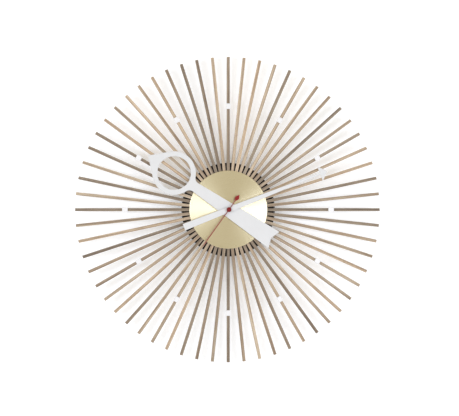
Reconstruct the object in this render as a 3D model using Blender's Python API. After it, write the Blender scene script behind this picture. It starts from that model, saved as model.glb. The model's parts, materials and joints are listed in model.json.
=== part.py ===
"""Sunburst wall clock: sixty wooden rays in a slotted black hub, a brass dial, white hands, a quartz movement.

The clock faces -Y and hangs on a wall at y = 0. The hands turn about the Y axis, which meets the wall at the
origin, with 12 o'clock towards +Z. Sizes are in millimetres until a mesh is made, and depths are distances
from the wall. A pair (x, z) is a place seen from the front, and a clockwise angle starts at 12 o'clock.
"""

import math

import bmesh
import bpy
from mathutils import Matrix, Vector

# Driving dimensions, millimetres.
MM = 0.001
FIT = 0.3  # gap left between pieces that touch or run in one another
CLOCK_RADIUS = 235.0
RAY_COUNT = 60
RAY_WIDTH = 4.6
RAY_DEPTH = 5.7
RAYS_PER_FAN = 5
RAY_INNER_RADIUS = 38.0
HUB_RADIUS = 72.0
HUB_PLATE_RADIUS = 70.5
HUB_PLATE = 2.7
BOSS_RADIUS = 30.0
COMB_INNER_RADIUS = 52.5
DIAL_RADIUS = 60.0
DIAL_THICKNESS = 1.2
DIAL_CHAMFER = 0.3
MARKER_RADIUS = 159.0
MARKER_LENGTH = 8.6
MARKER_WIDTH = 7.5
MARKER_PROUD = 3.2
MARKER_GROOVE = 1.2

# Hands.
HAND_THICKNESS = 1.2
HOUR_ANGLE = 303.8
HOUR_PIVOT_WIDTH = 21.4
HOUR_TAPER = 0.108  # width lost per millimetre towards the ring
HOUR_RING_CENTRE = 100.8
HOUR_RING_RADIUS = 33.4
HOUR_RING_HOLE = 25.7
HOUR_NOSE = 149.0
HOUR_FILLET = 9.15
HOUR_TAIL_TIP = -84.2
HOUR_TAIL_NOTCH = -78.6
MINUTE_ANGLE = 68.6
MINUTE_PIVOT_WIDTH = 8.2
MINUTE_TAPER = 0.0315
MINUTE_TAIL = -74.0
MINUTE_HEAD_BASE = 151.3
MINUTE_HEAD_HALF = 11.9
MINUTE_TIP = 163.3
SECOND_ANGLE = 215.5
SECOND_WIDTH = 1.1
SECOND_THICKNESS = 0.6
SECOND_TIP = 70.0
SECOND_KITE = (17.0, 21.6, 28.0)  # start, widest point and end of the counterweight
SECOND_KITE_HALF = 3.4
SECOND_EYE_RADIUS = 2.4
COLLET_WALL = 0.6
COLLET_LENGTH = 1.0
CAP_RADIUS = 3.7
CAP_HEIGHT = 3.4
CAP_EDGE = 0.8  # height of its straight side, below the dome

# Depths from the wall, from back to front.
HOUSING_FRONT = 17.7
HUB_BACK = HOUSING_FRONT + FIT
RAY_BACK = HUB_BACK + HUB_PLATE + FIT
RAY_FRONT = RAY_BACK + RAY_DEPTH
DIAL_BACK = RAY_FRONT + FIT
DIAL_FRONT = DIAL_BACK + DIAL_THICKNESS
HOUR_BACK = 32.7
MINUTE_BACK = 35.7
SECOND_BACK = 38.7
CAP_BACK = SECOND_BACK + SECOND_THICKNESS + FIT

# Rear housing, hanger and screws.
HOUSING_RADIUS = 62.0
HOUSING_WALL = 1.8
HOUSING_WEB = 2.0
HOUSING_WEB_HOLE = 43.0
LIP_INNER_RADIUS = 54.0
LIP_THICKNESS = 2.0
SCREW_CIRCLE = 47.5
SCREW_RADIUS = 1.5
SCREW_HEAD_RADIUS = 3.0
SCREW_HEAD_HEIGHT = 2.1
SCREW_HEAD_EDGE = 1.2  # height of the head's straight side, below its dished top
SCREW_HEAD_TOP = 1.9
SCREW_SLOT_HALF = 0.4
SCREW_SLOT_DEPTH = 1.0
SCREW_COUNT = 3
HANGER_WIDTH = 56.0
HANGER_LOW = 38.0
HANGER_HIGH = 54.0
HANGER_THICKNESS = 1.5
HANGER_CORNER = 3.0
HANGER_SCREW_X = 24.5
HANGER_SCREW_Z = 50.9
HANGER_HOLE_FLOOR = 0.6
KEYHOLE_Z = 43.0
KEYHOLE_RADIUS = 4.2
KEYHOLE_SLOT_RADIUS = 2.2
KEYHOLE_SLOT_Z = 49.0

# Movement, seen from the front: its battery lies along the bottom.
CASE_HALF = 28.0
CASE_LOW = -29.0
CASE_HIGH = 27.0
CASE_CORNER = 5.0
CASE_WALL = 1.1
CASE_FRONT = 16.6
CASE_FRONT_WALL = 1.5
PARTITION = (-12.6, -11.6)
COVER_THICKNESS = 1.4
BATTERY_OPENING = (-26.4, 26.9, -28.0, -12.7)  # left, right, low and high sides
OPENING_CORNER = 3.0
PIVOT_RADIUS = 0.6
PIVOT_DEPTH = 0.5  # how far an arbor's end stands in its bearing hole
BATTERY_RADIUS = 7.25
BATTERY_LENGTH = 49.2
BATTERY_NUB = (2.75, 1.3)
BATTERY_START = -24.2
BATTERY_EDGE = 0.5
CONTACT_THICKNESS = 0.35
CONTACT_HALF = 3.5
CONTACT_REACH = (4.5, 6.5)  # towards the wall and away from it, from the battery's axis
SPRING_WIRE = 0.28
SPRING_TURNS = 2.5
SPRING_POINTS = 10  # along each turn
SPRING_RADII = (4.6, 2.4)
STUD_RADIUS = 0.55
MAGNET_RADIUS = 2.9
BUSH_RADIUS = 4.0
BUSH_BORE = 2.8
BUSH_FRONT = 31.6
BUSH_FLANGE = (5.2, 0.5)  # radius and thickness
GASKET_RADIUS = 20.0
WASHER_RADIUS = 7.6
WASHER_THICKNESS = 0.6
HOUR_PIPE = (2.5, 1.95)
MINUTE_PIPE = (1.65, 0.8)
SECOND_ARBOR = 0.5
NUT_FLATS = 11.0
NUT_HEIGHT = 2.0

# Gear train. Each stage is (pinion teeth, wheel teeth, distance between their axes).
ROTOR_STAGE = (6, 36, 6.0)
STEP_STAGE = (8, 40, 12.6)
THIRD_STAGE = (6, 45, 12.24)
CENTRE_STAGE = (6, 48, 12.24)
CANNON_STAGE = (10, 30, 9.0)
HOUR_STAGE = (8, 32, 9.0)
SETTING_TEETH = 10
TOOTH_RISE = 0.75  # above and below the pitch circle, in modules
TOOTH_FALL = 1.05
TOOTH_ROOT_SHARE = 0.5  # widths as shares of the pitch
TOOTH_TIP_SHARE = 0.22
KNOB_RADIUS = 4.2
KNOB_RIBS = 14
KNOB_ARBOR_RADIUS = 1.5
KNOB_POCKET_RADIUS = 5.2
KNOB_POCKET_FLOOR = 4.3
KNOB_CUP_WALL = 0.8
KNOB_CUP_FLOOR = 1.2

# Back and front of each layer in the movement, as depths from the wall.
KNOB_LAYER = (0.6, 3.6)
STEP_PINION_LAYER = (3.8, 5.5)
SECOND_WHEEL_LAYER = (4.1, 5.1)
SECOND_PINION_LAYER = (4.8, 7.9)
THIRD_WHEEL_LAYER = (6.3, 7.5)
THIRD_PINION_LAYER = (7.2, 11.1)
ROTOR_PINION_LAYER = (7.7, 11.5)
STEP_WHEEL_LAYER = (8.1, 8.9)
CENTRE_HUB_LAYER = (9.3, 11.2)
CENTRE_WHEEL_LAYER = (9.6, 10.7)
MAGNET_LAYER = (11.2, 13.2)
STATOR_LAYER = (11.7, 12.7)
CANNON_PINION_LAYER = (11.6, 13.2)
MINUTE_WHEEL_LAYER = (11.9, 13.0)
MINUTE_PINION_LAYER = (12.7, 14.8)
HOUR_WHEEL_LAYER = (13.9, 14.8)
BOARD_LAYER = (13.1, 14.1)
MINUTE_PIPE_BACK = 8.7
HOUR_PIPE_BACK = 13.6
STUD_BACK = 11.5
STATOR_SIDES = (-4.0, 22.0)
STATOR_LOW = 10.8
STATOR_BRIDGE = 20.0  # where the plate ends and its two arms begin
STATOR_HIGH = 25.4
STATOR_ARM = 4.0
STATOR_HOLE_GAP = 0.4
COIL_DEPTH = 12.2
COIL_END = (17.2, 22.9)
COIL_LENGTH = 16.4
WINDING_RADIUS = 2.2
BOBBIN_FLANGE = (2.6, 0.8)  # radius and thickness
BOARD_SIDES = (-26.0, -13.0, -10.0, 25.0)
CRYSTAL_DEPTH = 11.2
CRYSTAL_FOOT = (-20.0, 8.0)
CRYSTAL_RADIUS = 1.5
CRYSTAL_LENGTH = 8.0
THIRD_DIRECTION = 300.0  # clockwise angles from one axis to the next
STEP_DIRECTION = 40.0
ROTOR_DIRECTION = 10.0
MOTION_DIRECTION = 90.0

FRONT_INNER = CASE_FRONT - CASE_FRONT_WALL
CASE_REAR = COVER_THICKNESS + FIT
ARBOR_BACK = COVER_THICKNESS - PIVOT_DEPTH
ARBOR_FRONT = FRONT_INNER + PIVOT_DEPTH


def module_of(stage):
    """Tooth module of a pinion and the wheel that it meshes with."""
    pinion, wheel, distance = stage
    return 2 * distance / (pinion + wheel)


def step_from(place, clockwise, distance):
    """The place at this distance from another, in a clockwise direction from 12 o'clock."""
    turn = math.radians(clockwise)
    return (place[0] + distance * math.sin(turn), place[1] + distance * math.cos(turn))


CENTRE = (0.0, 0.0)
THIRD_AXIS = step_from(CENTRE, THIRD_DIRECTION, THIRD_STAGE[2])
STEP_AXIS = step_from(CENTRE, STEP_DIRECTION, STEP_STAGE[2])
ROTOR_AXIS = step_from(STEP_AXIS, ROTOR_DIRECTION, ROTOR_STAGE[2])
MINUTE_WHEEL_AXIS = step_from(CENTRE, MOTION_DIRECTION, CANNON_STAGE[2])
SETTING_DISTANCE = module_of(CANNON_STAGE) * (SETTING_TEETH + CANNON_STAGE[1]) / 2
SETTING_AXIS = step_from(MINUTE_WHEEL_AXIS, MOTION_DIRECTION, SETTING_DISTANCE)


# ---------------------------------------------------------------- building blocks


def clear_scene():
    for obj in list(bpy.data.objects):
        bpy.data.objects.remove(obj, do_unlink=True)


def material(name, colour, roughness, metallic=0.0):
    """A Principled material, or the one of that name if it's already made."""
    found = bpy.data.materials.get(name)
    if found:
        return found
    made = bpy.data.materials.new(name)
    made.use_nodes = True
    shader = made.node_tree.nodes["Principled BSDF"]
    shader.inputs["Base Color"].default_value = (*colour, 1.0)
    shader.inputs["Roughness"].default_value = roughness
    shader.inputs["Metallic"].default_value = metallic
    made.diffuse_color = (*colour, 1.0)
    return made


def add_object(name, mesh, finish=None, place=CENTRE, clockwise=0.0, parent=None):
    """Links a mesh, a curve or nothing, its origin on the axis through (x, z), turned clockwise about it."""
    obj = bpy.data.objects.new(name, mesh)
    bpy.context.scene.collection.objects.link(obj)
    obj.location = (place[0] * MM, 0.0, place[1] * MM)
    obj.rotation_euler = (0.0, math.radians(clockwise), 0.0)
    if finish and not mesh.materials:
        mesh.materials.append(finish)
    obj.parent = parent
    return obj


def empty(name, parent=None):
    return add_object(name, None, parent=parent)


def finished_mesh(name, build, smooth_below=35.0):
    """A mesh from a bmesh, closed, facing out, and smooth where its faces meet at a shallow angle."""
    bmesh.ops.remove_doubles(build, verts=build.verts, dist=1e-7)
    bmesh.ops.recalc_face_normals(build, faces=build.faces)
    mesh = bpy.data.meshes.new(name)
    build.to_mesh(mesh)
    build.free()
    mesh.shade_smooth()
    mesh.set_sharp_from_angle(angle=math.radians(smooth_below))
    return mesh


def extrude_outline(build, outline, back, front):
    """Adds a solid to the bmesh: an outline of (x, z) points, extruded between two depths."""
    points = [build.verts.new((x * MM, -back * MM, z * MM)) for x, z in outline]
    face = build.faces.new(points)
    extruded = bmesh.ops.extrude_face_region(build, geom=[face])["geom"]
    moved = [item for item in extruded if isinstance(item, bmesh.types.BMVert)]
    bmesh.ops.translate(build, verts=moved, vec=(0.0, (back - front) * MM, 0.0))


def prism(name, outline, back, front):
    """A mesh of one extruded outline."""
    build = bmesh.new()
    extrude_outline(build, outline, back, front)
    return finished_mesh(name, build)


def turned(name, profile, segments):
    """A mesh turned about the Y axis from (radius, depth) points. A profile off the axis is a closed loop."""
    build = bmesh.new()
    points = [build.verts.new((r * MM, -depth * MM, 0.0)) for r, depth in profile]
    edges = [build.edges.new(pair) for pair in zip(points, points[1:])]
    if min(r for r, _ in profile) > 0:
        edges.append(build.edges.new((points[-1], points[0])))
    turn = {"cent": (0, 0, 0), "axis": (0, 1, 0), "angle": math.tau}
    bmesh.ops.spin(build, geom=points + edges, steps=segments, use_merge=True, **turn)
    return finished_mesh(name, build)


def tube(name, outer, inner, back, front, segments):
    return turned(name, [(outer, back), (outer, front), (inner, front), (inner, back)], segments)


def rod(name, radius, back, front, segments=10):
    return turned(name, [(0, back), (radius, back), (radius, front), (0, front)], segments)


def helper(owner, label, mesh):
    """A hidden object that cuts or extends another, at that object's place."""
    obj = add_object(f"{owner.name}_{label}", mesh)
    obj.parent = owner
    obj.location = (0.0, 0.0, 0.0)
    obj.hide_render = True
    obj.display_type = "WIRE"
    return obj


def combine(owner, label, mesh, operation):
    modifier = owner.modifiers.new(label, "BOOLEAN")
    modifier.operation = operation
    modifier.object = helper(owner, label, mesh)


def fuse(owner, label, mesh):
    combine(owner, label, mesh, "UNION")


def cut(owner, label, mesh):
    combine(owner, label, mesh, "DIFFERENCE")


def moved_mesh(mesh, x, z, depth=0.0, turn=None):
    """The mesh after an optional turn, moved to a place and depth."""
    matrix = Matrix.Translation(Vector((x, -depth, z)) * MM)
    mesh.transform(matrix @ turn if turn else matrix)
    return mesh


def arc(centre, radius, start, end, count):
    """Points on an arc between two clockwise angles in degrees, ends included."""
    angles = [start + (end - start) * i / count for i in range(count + 1)]
    return [step_from(centre, angle, radius) for angle in angles]


def mirrored(half):
    """A closed outline from its right half, listed from top to bottom."""
    return half + [(-x, z) for x, z in reversed(half) if abs(x) > 1e-6]


def rounded_box(low_x, high_x, low_z, high_z, radius, count=4):
    corners = [
        ((high_x - radius, high_z - radius), 0),
        ((high_x - radius, low_z + radius), 90),
        ((low_x + radius, low_z + radius), 180),
        ((low_x + radius, high_z - radius), 270),
    ]
    return [point for centre, start in corners for point in arc(centre, radius, start, start + 90, count)]


def hexagon(flats):
    return [step_from(CENTRE, 60 * i, flats / math.sqrt(3)) for i in range(6)]


# ---------------------------------------------------------------- gears


def gear_outline(teeth, module, tooth_at):
    """A gear with straight-flanked teeth, one of them centred on a clockwise angle."""
    pitch_radius = teeth * module / 2
    tip_radius = pitch_radius + TOOTH_RISE * module
    root_radius = pitch_radius - TOOTH_FALL * module
    pitch = 360 / teeth
    root, tip = TOOTH_ROOT_SHARE / 2, TOOTH_TIP_SHARE / 2
    outline = []
    for index in range(teeth):
        middle = tooth_at + index * pitch
        for radius, share in ((root_radius, -root), (tip_radius, -tip), (tip_radius, tip), (root_radius, root)):
            outline.append(step_from(CENTRE, middle + share * pitch, radius))
    return outline


def gear(name, teeth, module, tooth_at, back, front):
    return prism(name, gear_outline(teeth, module, tooth_at), back, front)


def gap_at(direction, teeth):
    """The angle of a tooth in a gear that has a gap centred on this direction."""
    return direction + 180 / teeth


# ---------------------------------------------------------------- finishes

WOOD = material("walnut_wood", (0.42, 0.31, 0.22), 0.55)
BLACK = material("black_lacquer", (0.012, 0.011, 0.011), 0.4)
BRASS = material("brushed_brass", (0.83, 0.72, 0.42), 0.3, 1.0)
WHITE = material("white_paint", (0.85, 0.86, 0.88), 0.45)
RED = material("red_paint", (0.45, 0.03, 0.04), 0.4)
STEEL = material("zinc_steel", (0.6, 0.6, 0.62), 0.35, 1.0)
MOVEMENT_PLASTIC = material("movement_plastic", (0.03, 0.03, 0.033), 0.5)
GEAR_PLASTIC = material("gear_plastic", (0.8, 0.78, 0.7), 0.45)
RUBBER = material("gasket_rubber", (0.02, 0.02, 0.02), 0.8)
COPPER = material("copper_winding", (0.6, 0.25, 0.1), 0.4, 1.0)
BOARD = material("board_green", (0.02, 0.2, 0.06), 0.5)
BATTERY_SLEEVE = material("battery_sleeve", (0.05, 0.12, 0.3), 0.35)


# ---------------------------------------------------------------- rays and hour markers


def fan_outline():
    """Neighbouring rays, joined at their glued inner ends, with half a fitting gap to the fans beside them."""
    half = RAY_WIDTH / 2
    pitch = 360 / RAY_COUNT
    lean = math.radians(pitch / 2)
    first = -pitch * (RAYS_PER_FAN - 1) / 2
    outline = []
    for index in range(RAYS_PER_FAN):
        angle = first + index * pitch
        gap = [FIT / 2 if index == 0 else 0.0, FIT / 2 if index == RAYS_PER_FAN - 1 else 0.0]
        foot = [(half * math.cos(lean) + side) / math.sin(lean) for side in gap]
        corners = [(-half, foot[0]), (-half, CLOCK_RADIUS), (half, CLOCK_RADIUS), (half, foot[1])]
        for x, along in corners if index == 0 else corners[1:]:
            outline.append(step_from(step_from(CENTRE, angle, along), angle + 90, x))
    # The last ray's foot and the first one's lie on the fan's sides, and the inner ends lie on an arc.
    edge = pitch * RAYS_PER_FAN / 2 - math.degrees(FIT / 2 / RAY_INNER_RADIUS)
    return outline + arc(CENTRE, RAY_INNER_RADIUS, edge, -edge, RAYS_PER_FAN)


def add_rays(parent):
    mesh = prism("ray_fan", fan_outline(), RAY_BACK, RAY_FRONT)
    for hour in range(1, 13):
        add_object(f"ray_fan_{hour:02d}", mesh, WOOD, clockwise=30 * hour, parent=parent)


def add_hour_markers(parent):
    """White blocks, each with a groove behind that straddles its ray."""
    half = MARKER_WIDTH / 2
    groove = RAY_WIDTH / 2 + FIT
    low = MARKER_RADIUS - MARKER_LENGTH / 2
    high = MARKER_RADIUS + MARKER_LENGTH / 2
    floor = RAY_FRONT + FIT
    front = RAY_FRONT + MARKER_PROUD
    back = RAY_FRONT - MARKER_GROOVE
    section = [
        (-half, front), (half, front), (half, back), (groove, back),
        (groove, floor), (-groove, floor), (-groove, back), (-half, back),
    ]
    build = bmesh.new()
    points = [build.verts.new((x * MM, -depth * MM, low * MM)) for x, depth in section]
    extruded = bmesh.ops.extrude_face_region(build, geom=[build.faces.new(points)])["geom"]
    moved = [item for item in extruded if isinstance(item, bmesh.types.BMVert)]
    bmesh.ops.translate(build, verts=moved, vec=(0.0, 0.0, (high - low) * MM))
    mesh = finished_mesh("hour_marker", build)
    for hour in range(1, 13):
        add_object(f"hour_marker_{hour:02d}", mesh, WHITE, clockwise=30 * hour, parent=parent)


# ---------------------------------------------------------------- hub, dial and housing


def add_ray_hub(parent):
    """A plate with a boss behind the dial and a comb of wedges that space the rays."""
    bore = BUSH_RADIUS + FIT
    plate_front = HUB_BACK + HUB_PLATE
    profile = [
        (bore, HUB_BACK), (HUB_PLATE_RADIUS, HUB_BACK), (HUB_PLATE_RADIUS, plate_front),
        (BOSS_RADIUS, plate_front), (BOSS_RADIUS, RAY_FRONT), (bore, RAY_FRONT),
    ]
    hub = add_object("ray_hub", turned("ray_hub", profile, 60), BLACK, parent=parent)
    lean = math.radians(180 / RAY_COUNT)
    clear = (RAY_WIDTH / 2 + FIT) / math.cos(lean)
    inner = COMB_INNER_RADIUS * math.tan(lean) - clear
    outer = HUB_RADIUS * math.tan(lean) - clear
    comb = bmesh.new()
    for index in range(RAY_COUNT):
        angle = (index + 0.5) * 360 / RAY_COUNT
        wedge = [
            (-inner, COMB_INNER_RADIUS), (-outer, HUB_RADIUS), (outer, HUB_RADIUS), (inner, COMB_INNER_RADIUS),
        ]
        outline = [step_from(step_from(CENTRE, angle, along), angle + 90, x) for x, along in wedge]
        extrude_outline(comb, outline, plate_front - HUB_PLATE / 4, RAY_FRONT)
    fuse(hub, "comb", finished_mesh("comb", comb))
    for place in screw_places():
        hole = rod("hole", SCREW_RADIUS + FIT, HUB_BACK - 1, plate_front + 1, 12)
        cut(hub, "screw_hole", moved_mesh(hole, *place))


def add_dial(parent):
    bore = BUSH_RADIUS + FIT
    profile = [
        (bore, DIAL_BACK), (DIAL_RADIUS, DIAL_BACK), (DIAL_RADIUS, DIAL_FRONT - DIAL_CHAMFER),
        (DIAL_RADIUS - DIAL_CHAMFER, DIAL_FRONT), (bore, DIAL_FRONT),
    ]
    add_object("dial_disc", turned("dial_disc", profile, 64), BRASS, parent=parent)


def screw_places():
    return [step_from(CENTRE, 60 + 360 * i / SCREW_COUNT, SCREW_CIRCLE) for i in range(SCREW_COUNT)]


def add_rear_housing(parent):
    """An open-backed can whose flat rear lip rests on the wall."""
    web_back = HOUSING_FRONT - HOUSING_WEB
    inside = HOUSING_RADIUS - HOUSING_WALL
    profile = [
        (HOUSING_RADIUS, 0), (HOUSING_RADIUS, HOUSING_FRONT), (HOUSING_WEB_HOLE, HOUSING_FRONT),
        (HOUSING_WEB_HOLE, web_back), (inside, web_back), (inside, LIP_THICKNESS),
        (LIP_INNER_RADIUS, LIP_THICKNESS), (LIP_INNER_RADIUS, 0),
    ]
    housing = add_object("rear_housing", turned("rear_housing", profile, 48), BLACK, parent=parent)
    for place in screw_places():
        hole = rod("hole", SCREW_RADIUS + FIT, web_back - 1, HOUSING_FRONT + 1, 12)
        cut(housing, "screw_hole", moved_mesh(hole, *place))
    for side in (-1, 1):
        hole = rod("hole", SCREW_RADIUS + FIT, HANGER_HOLE_FLOOR, LIP_THICKNESS + 1, 12)
        cut(housing, "hanger_hole", moved_mesh(hole, side * HANGER_SCREW_X, HANGER_SCREW_Z))


def screw(name, under_head, tip, place, parent):
    """A slotted pan-head screw along Y, its head's flat side at one depth and its tip at another."""
    away = math.copysign(1.0, under_head - tip)
    head_top = under_head + away * SCREW_HEAD_HEIGHT
    profile = [
        (0, tip), (SCREW_RADIUS, tip), (SCREW_RADIUS, under_head), (SCREW_HEAD_RADIUS, under_head),
        (SCREW_HEAD_RADIUS, under_head + away * SCREW_HEAD_EDGE), (SCREW_HEAD_TOP, head_top), (0, head_top),
    ]
    obj = add_object(name, turned(name, profile, 12), STEEL, place, parent=parent)
    reach = SCREW_HEAD_RADIUS + 1
    slot = rounded_box(-reach, reach, -SCREW_SLOT_HALF, SCREW_SLOT_HALF, SCREW_SLOT_HALF / 4, 1)
    cut(obj, "slot", prism("slot", slot, head_top - away * SCREW_SLOT_DEPTH, head_top + away))


def add_screws(parent):
    web_back = HOUSING_FRONT - HOUSING_WEB
    for index, place in enumerate(screw_places(), start=1):
        screw(f"housing_screw_{index}", web_back - FIT, RAY_BACK - FIT, place, parent)
    under_head = LIP_THICKNESS + FIT + HANGER_THICKNESS + FIT
    for label, side in (("left", -1), ("right", 1)):
        place = (side * HANGER_SCREW_X, HANGER_SCREW_Z)
        screw(f"hanger_screw_{label}", under_head, HANGER_HOLE_FLOOR + FIT, place, parent)


def add_hanger(parent):
    """A strap across the top of the housing, with a keyhole for the wall's nail."""
    back = LIP_THICKNESS + FIT
    half = HANGER_WIDTH / 2
    outline = rounded_box(-half, half, HANGER_LOW, HANGER_HIGH, HANGER_CORNER, 3)
    strap = prism("hanger_plate", outline, back, back + HANGER_THICKNESS)
    hanger = add_object("hanger_plate", strap, STEEL, parent=parent)
    keyhole = arc((0, KEYHOLE_Z), KEYHOLE_RADIUS, 32, 328, 14)
    keyhole += arc((0, KEYHOLE_SLOT_Z), KEYHOLE_SLOT_RADIUS, -90, 90, 8)
    cut(hanger, "keyhole", prism("keyhole", keyhole, back - 1, back + HANGER_THICKNESS + 1))
    for label, side in (("left", -1), ("right", 1)):
        hole = rod("hole", SCREW_RADIUS + FIT, back - 1, back + HANGER_THICKNESS + 1, 12)
        cut(hanger, f"hole_{label}", moved_mesh(hole, side * HANGER_SCREW_X, HANGER_SCREW_Z))


# ---------------------------------------------------------------- hands


def hour_half_width(along):
    return (HOUR_PIVOT_WIDTH - HOUR_TAPER * along) / 2


def minute_half_width(along):
    return (MINUTE_PIVOT_WIDTH - MINUTE_TAPER * along) / 2


def hour_hand_outline():
    """Tapered bar with a notched tail, a round head and a pointed nose tangent to it."""
    centre = (0.0, HOUR_RING_CENTRE)
    touch = math.degrees(math.acos(HOUR_RING_RADIUS / (HOUR_NOSE - HOUR_RING_CENTRE)))
    reach = HOUR_RING_RADIUS + HOUR_FILLET
    neck = hour_half_width(HOUR_RING_CENTRE - reach)
    drop = math.sqrt(reach**2 - (neck + HOUR_FILLET) ** 2)
    fillet_centre = (neck + HOUR_FILLET, HOUR_RING_CENTRE - drop)
    meet = 180 - math.degrees(math.atan2(neck + HOUR_FILLET, drop))
    half = [(0.0, HOUR_NOSE)]
    half += arc(centre, HOUR_RING_RADIUS, touch, meet, 12)
    half += arc(fillet_centre, HOUR_FILLET, meet + 180, 270, 4)[1:]
    half += [(hour_half_width(HOUR_TAIL_TIP), HOUR_TAIL_TIP), (0.0, HOUR_TAIL_NOTCH)]
    return mirrored(half)


def add_hour_hand(parent):
    front = HOUR_BACK + HAND_THICKNESS
    mesh = prism("hour_hand", hour_hand_outline(), HOUR_BACK, front)
    hand = add_object("hour_hand", mesh, WHITE, clockwise=HOUR_ANGLE, parent=parent)
    ring_hole = moved_mesh(rod("ring_hole", HOUR_RING_HOLE, HOUR_BACK - 1, front + 1, 40), 0, HOUR_RING_CENTRE)
    cut(hand, "ring_hole", ring_hole)
    cut(hand, "pipe_hole", rod("pipe_hole", HOUR_PIPE[0] + FIT, HOUR_BACK - 1, front + 1, 20))


def add_minute_hand(parent):
    front = MINUTE_BACK + HAND_THICKNESS
    half = [
        (0.0, MINUTE_TIP), (MINUTE_HEAD_HALF, MINUTE_HEAD_BASE),
        (minute_half_width(MINUTE_HEAD_BASE), MINUTE_HEAD_BASE), (minute_half_width(MINUTE_TAIL), MINUTE_TAIL),
    ]
    mesh = prism("minute_hand", mirrored(half), MINUTE_BACK, front)
    hand = add_object("minute_hand", mesh, WHITE, clockwise=MINUTE_ANGLE, parent=parent)
    cut(hand, "pipe_hole", rod("pipe_hole", MINUTE_PIPE[0] + FIT, MINUTE_BACK - 1, front + 1, 20))


def add_second_hand(parent):
    """A thin blade, an eye and collet on the arbor, and a kite-shaped counterweight."""
    front = SECOND_BACK + SECOND_THICKNESS
    half = SECOND_WIDTH / 2
    start, widest, end = (-along for along in SECOND_KITE)
    right = [
        (0.0, SECOND_TIP), (half * 0.6, SECOND_TIP - 1.0), (half, SECOND_TIP - 8.0), (half, start),
        (SECOND_KITE_HALF, widest), (0.0, end),
    ]
    mesh = prism("second_hand", mirrored(right), SECOND_BACK, front)
    hand = add_object("second_hand", mesh, RED, clockwise=SECOND_ANGLE, parent=parent)
    bore = SECOND_ARBOR + FIT
    inset = 0.1  # the eye is a little thinner than the blade, so that their faces don't coincide
    fuse(hand, "eye", rod("eye", SECOND_EYE_RADIUS, SECOND_BACK + inset, front - inset, 20))
    fuse(hand, "collet", rod("collet", bore + COLLET_WALL, SECOND_BACK - COLLET_LENGTH, SECOND_BACK + FIT, 16))
    cut(hand, "bore", rod("bore", bore, SECOND_BACK - 2.0, front + 1, 12))


def add_centre_cap(parent):
    count = 5
    profile = [(0, CAP_BACK), (CAP_RADIUS, CAP_BACK)]
    for index in range(count):
        turn = index / count * math.pi / 2
        lift = CAP_EDGE + (CAP_HEIGHT - CAP_EDGE) * math.sin(turn)
        profile.append((CAP_RADIUS * math.cos(turn), CAP_BACK + lift))
    profile.append((0, CAP_BACK + CAP_HEIGHT))
    add_object("centre_cap", turned("centre_cap", profile, 24), RED, parent=parent)


# ---------------------------------------------------------------- movement case and its fastening


def pivot_places():
    return {"third": THIRD_AXIS, "step": STEP_AXIS, "rotor": ROTOR_AXIS}


def add_movement_case(parent):
    """A tray open towards the wall, with one space for the train and one for the battery."""
    outline = rounded_box(-CASE_HALF, CASE_HALF, CASE_LOW, CASE_HIGH, CASE_CORNER)
    block = prism("movement_case", outline, CASE_REAR, CASE_FRONT)
    case = add_object("movement_case", block, MOVEMENT_PLASTIC, parent=parent)
    inner = CASE_HALF - CASE_WALL
    inner_corner = CASE_CORNER - CASE_WALL
    train = rounded_box(-inner, inner, PARTITION[1], CASE_HIGH - CASE_WALL, inner_corner)
    bay = rounded_box(-inner, inner, CASE_LOW + CASE_WALL, PARTITION[0], inner_corner)
    cut(case, "train_space", prism("train_space", train, CASE_REAR - 1, FRONT_INNER))
    cut(case, "battery_bay", prism("battery_bay", bay, CASE_REAR - 1, FRONT_INNER))
    cut(case, "bush_hole", rod("bush_hole", BUSH_RADIUS + FIT, FRONT_INNER - 1, CASE_FRONT + 1, 24))
    for name, place in (*pivot_places().items(), ("setting", SETTING_AXIS)):
        hole = rod("hole", PIVOT_RADIUS + FIT, FRONT_INNER - 1, FRONT_INNER + PIVOT_DEPTH + FIT, 12)
        cut(case, f"{name}_bearing", moved_mesh(hole, *place))
    stud = rod("stud", STUD_RADIUS, STUD_BACK, FRONT_INNER + 0.5)
    fuse(case, "minute_stud", moved_mesh(stud, *MINUTE_WHEEL_AXIS))


def add_movement_cover(parent):
    """A flat plate in the wall's plane, with an opening for the battery and a sunk pocket for the knob."""
    outline = rounded_box(-CASE_HALF, CASE_HALF, CASE_LOW, CASE_HIGH, CASE_CORNER)
    plate = prism("movement_cover", outline, 0.0, COVER_THICKNESS)
    cover = add_object("movement_cover", plate, MOVEMENT_PLASTIC, parent=parent)
    beyond = COVER_THICKNESS + 1
    opening = rounded_box(*BATTERY_OPENING, OPENING_CORNER)
    cut(cover, "battery_opening", prism("battery_opening", opening, -1.0, beyond))
    cup_radius = KNOB_POCKET_RADIUS + KNOB_CUP_WALL
    cup = rod("knob_cup", cup_radius, COVER_THICKNESS / 2, KNOB_POCKET_FLOOR + KNOB_CUP_FLOOR, 20)
    fuse(cover, "knob_cup", moved_mesh(cup, *SETTING_AXIS))
    pocket = rod("knob_pocket", KNOB_POCKET_RADIUS, -1.0, KNOB_POCKET_FLOOR, 20)
    cut(cover, "knob_pocket", moved_mesh(pocket, *SETTING_AXIS))
    hole = rod("arbor_hole", KNOB_ARBOR_RADIUS + FIT, KNOB_LAYER[0], KNOB_POCKET_FLOOR + 2, 16)
    cut(cover, "arbor_hole", moved_mesh(hole, *SETTING_AXIS))
    for name, place in (*pivot_places().items(), ("second", CENTRE)):
        hole = rod("hole", PIVOT_RADIUS + FIT, ARBOR_BACK - FIT, beyond, 12)
        cut(cover, f"{name}_bearing", moved_mesh(hole, *place))


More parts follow.
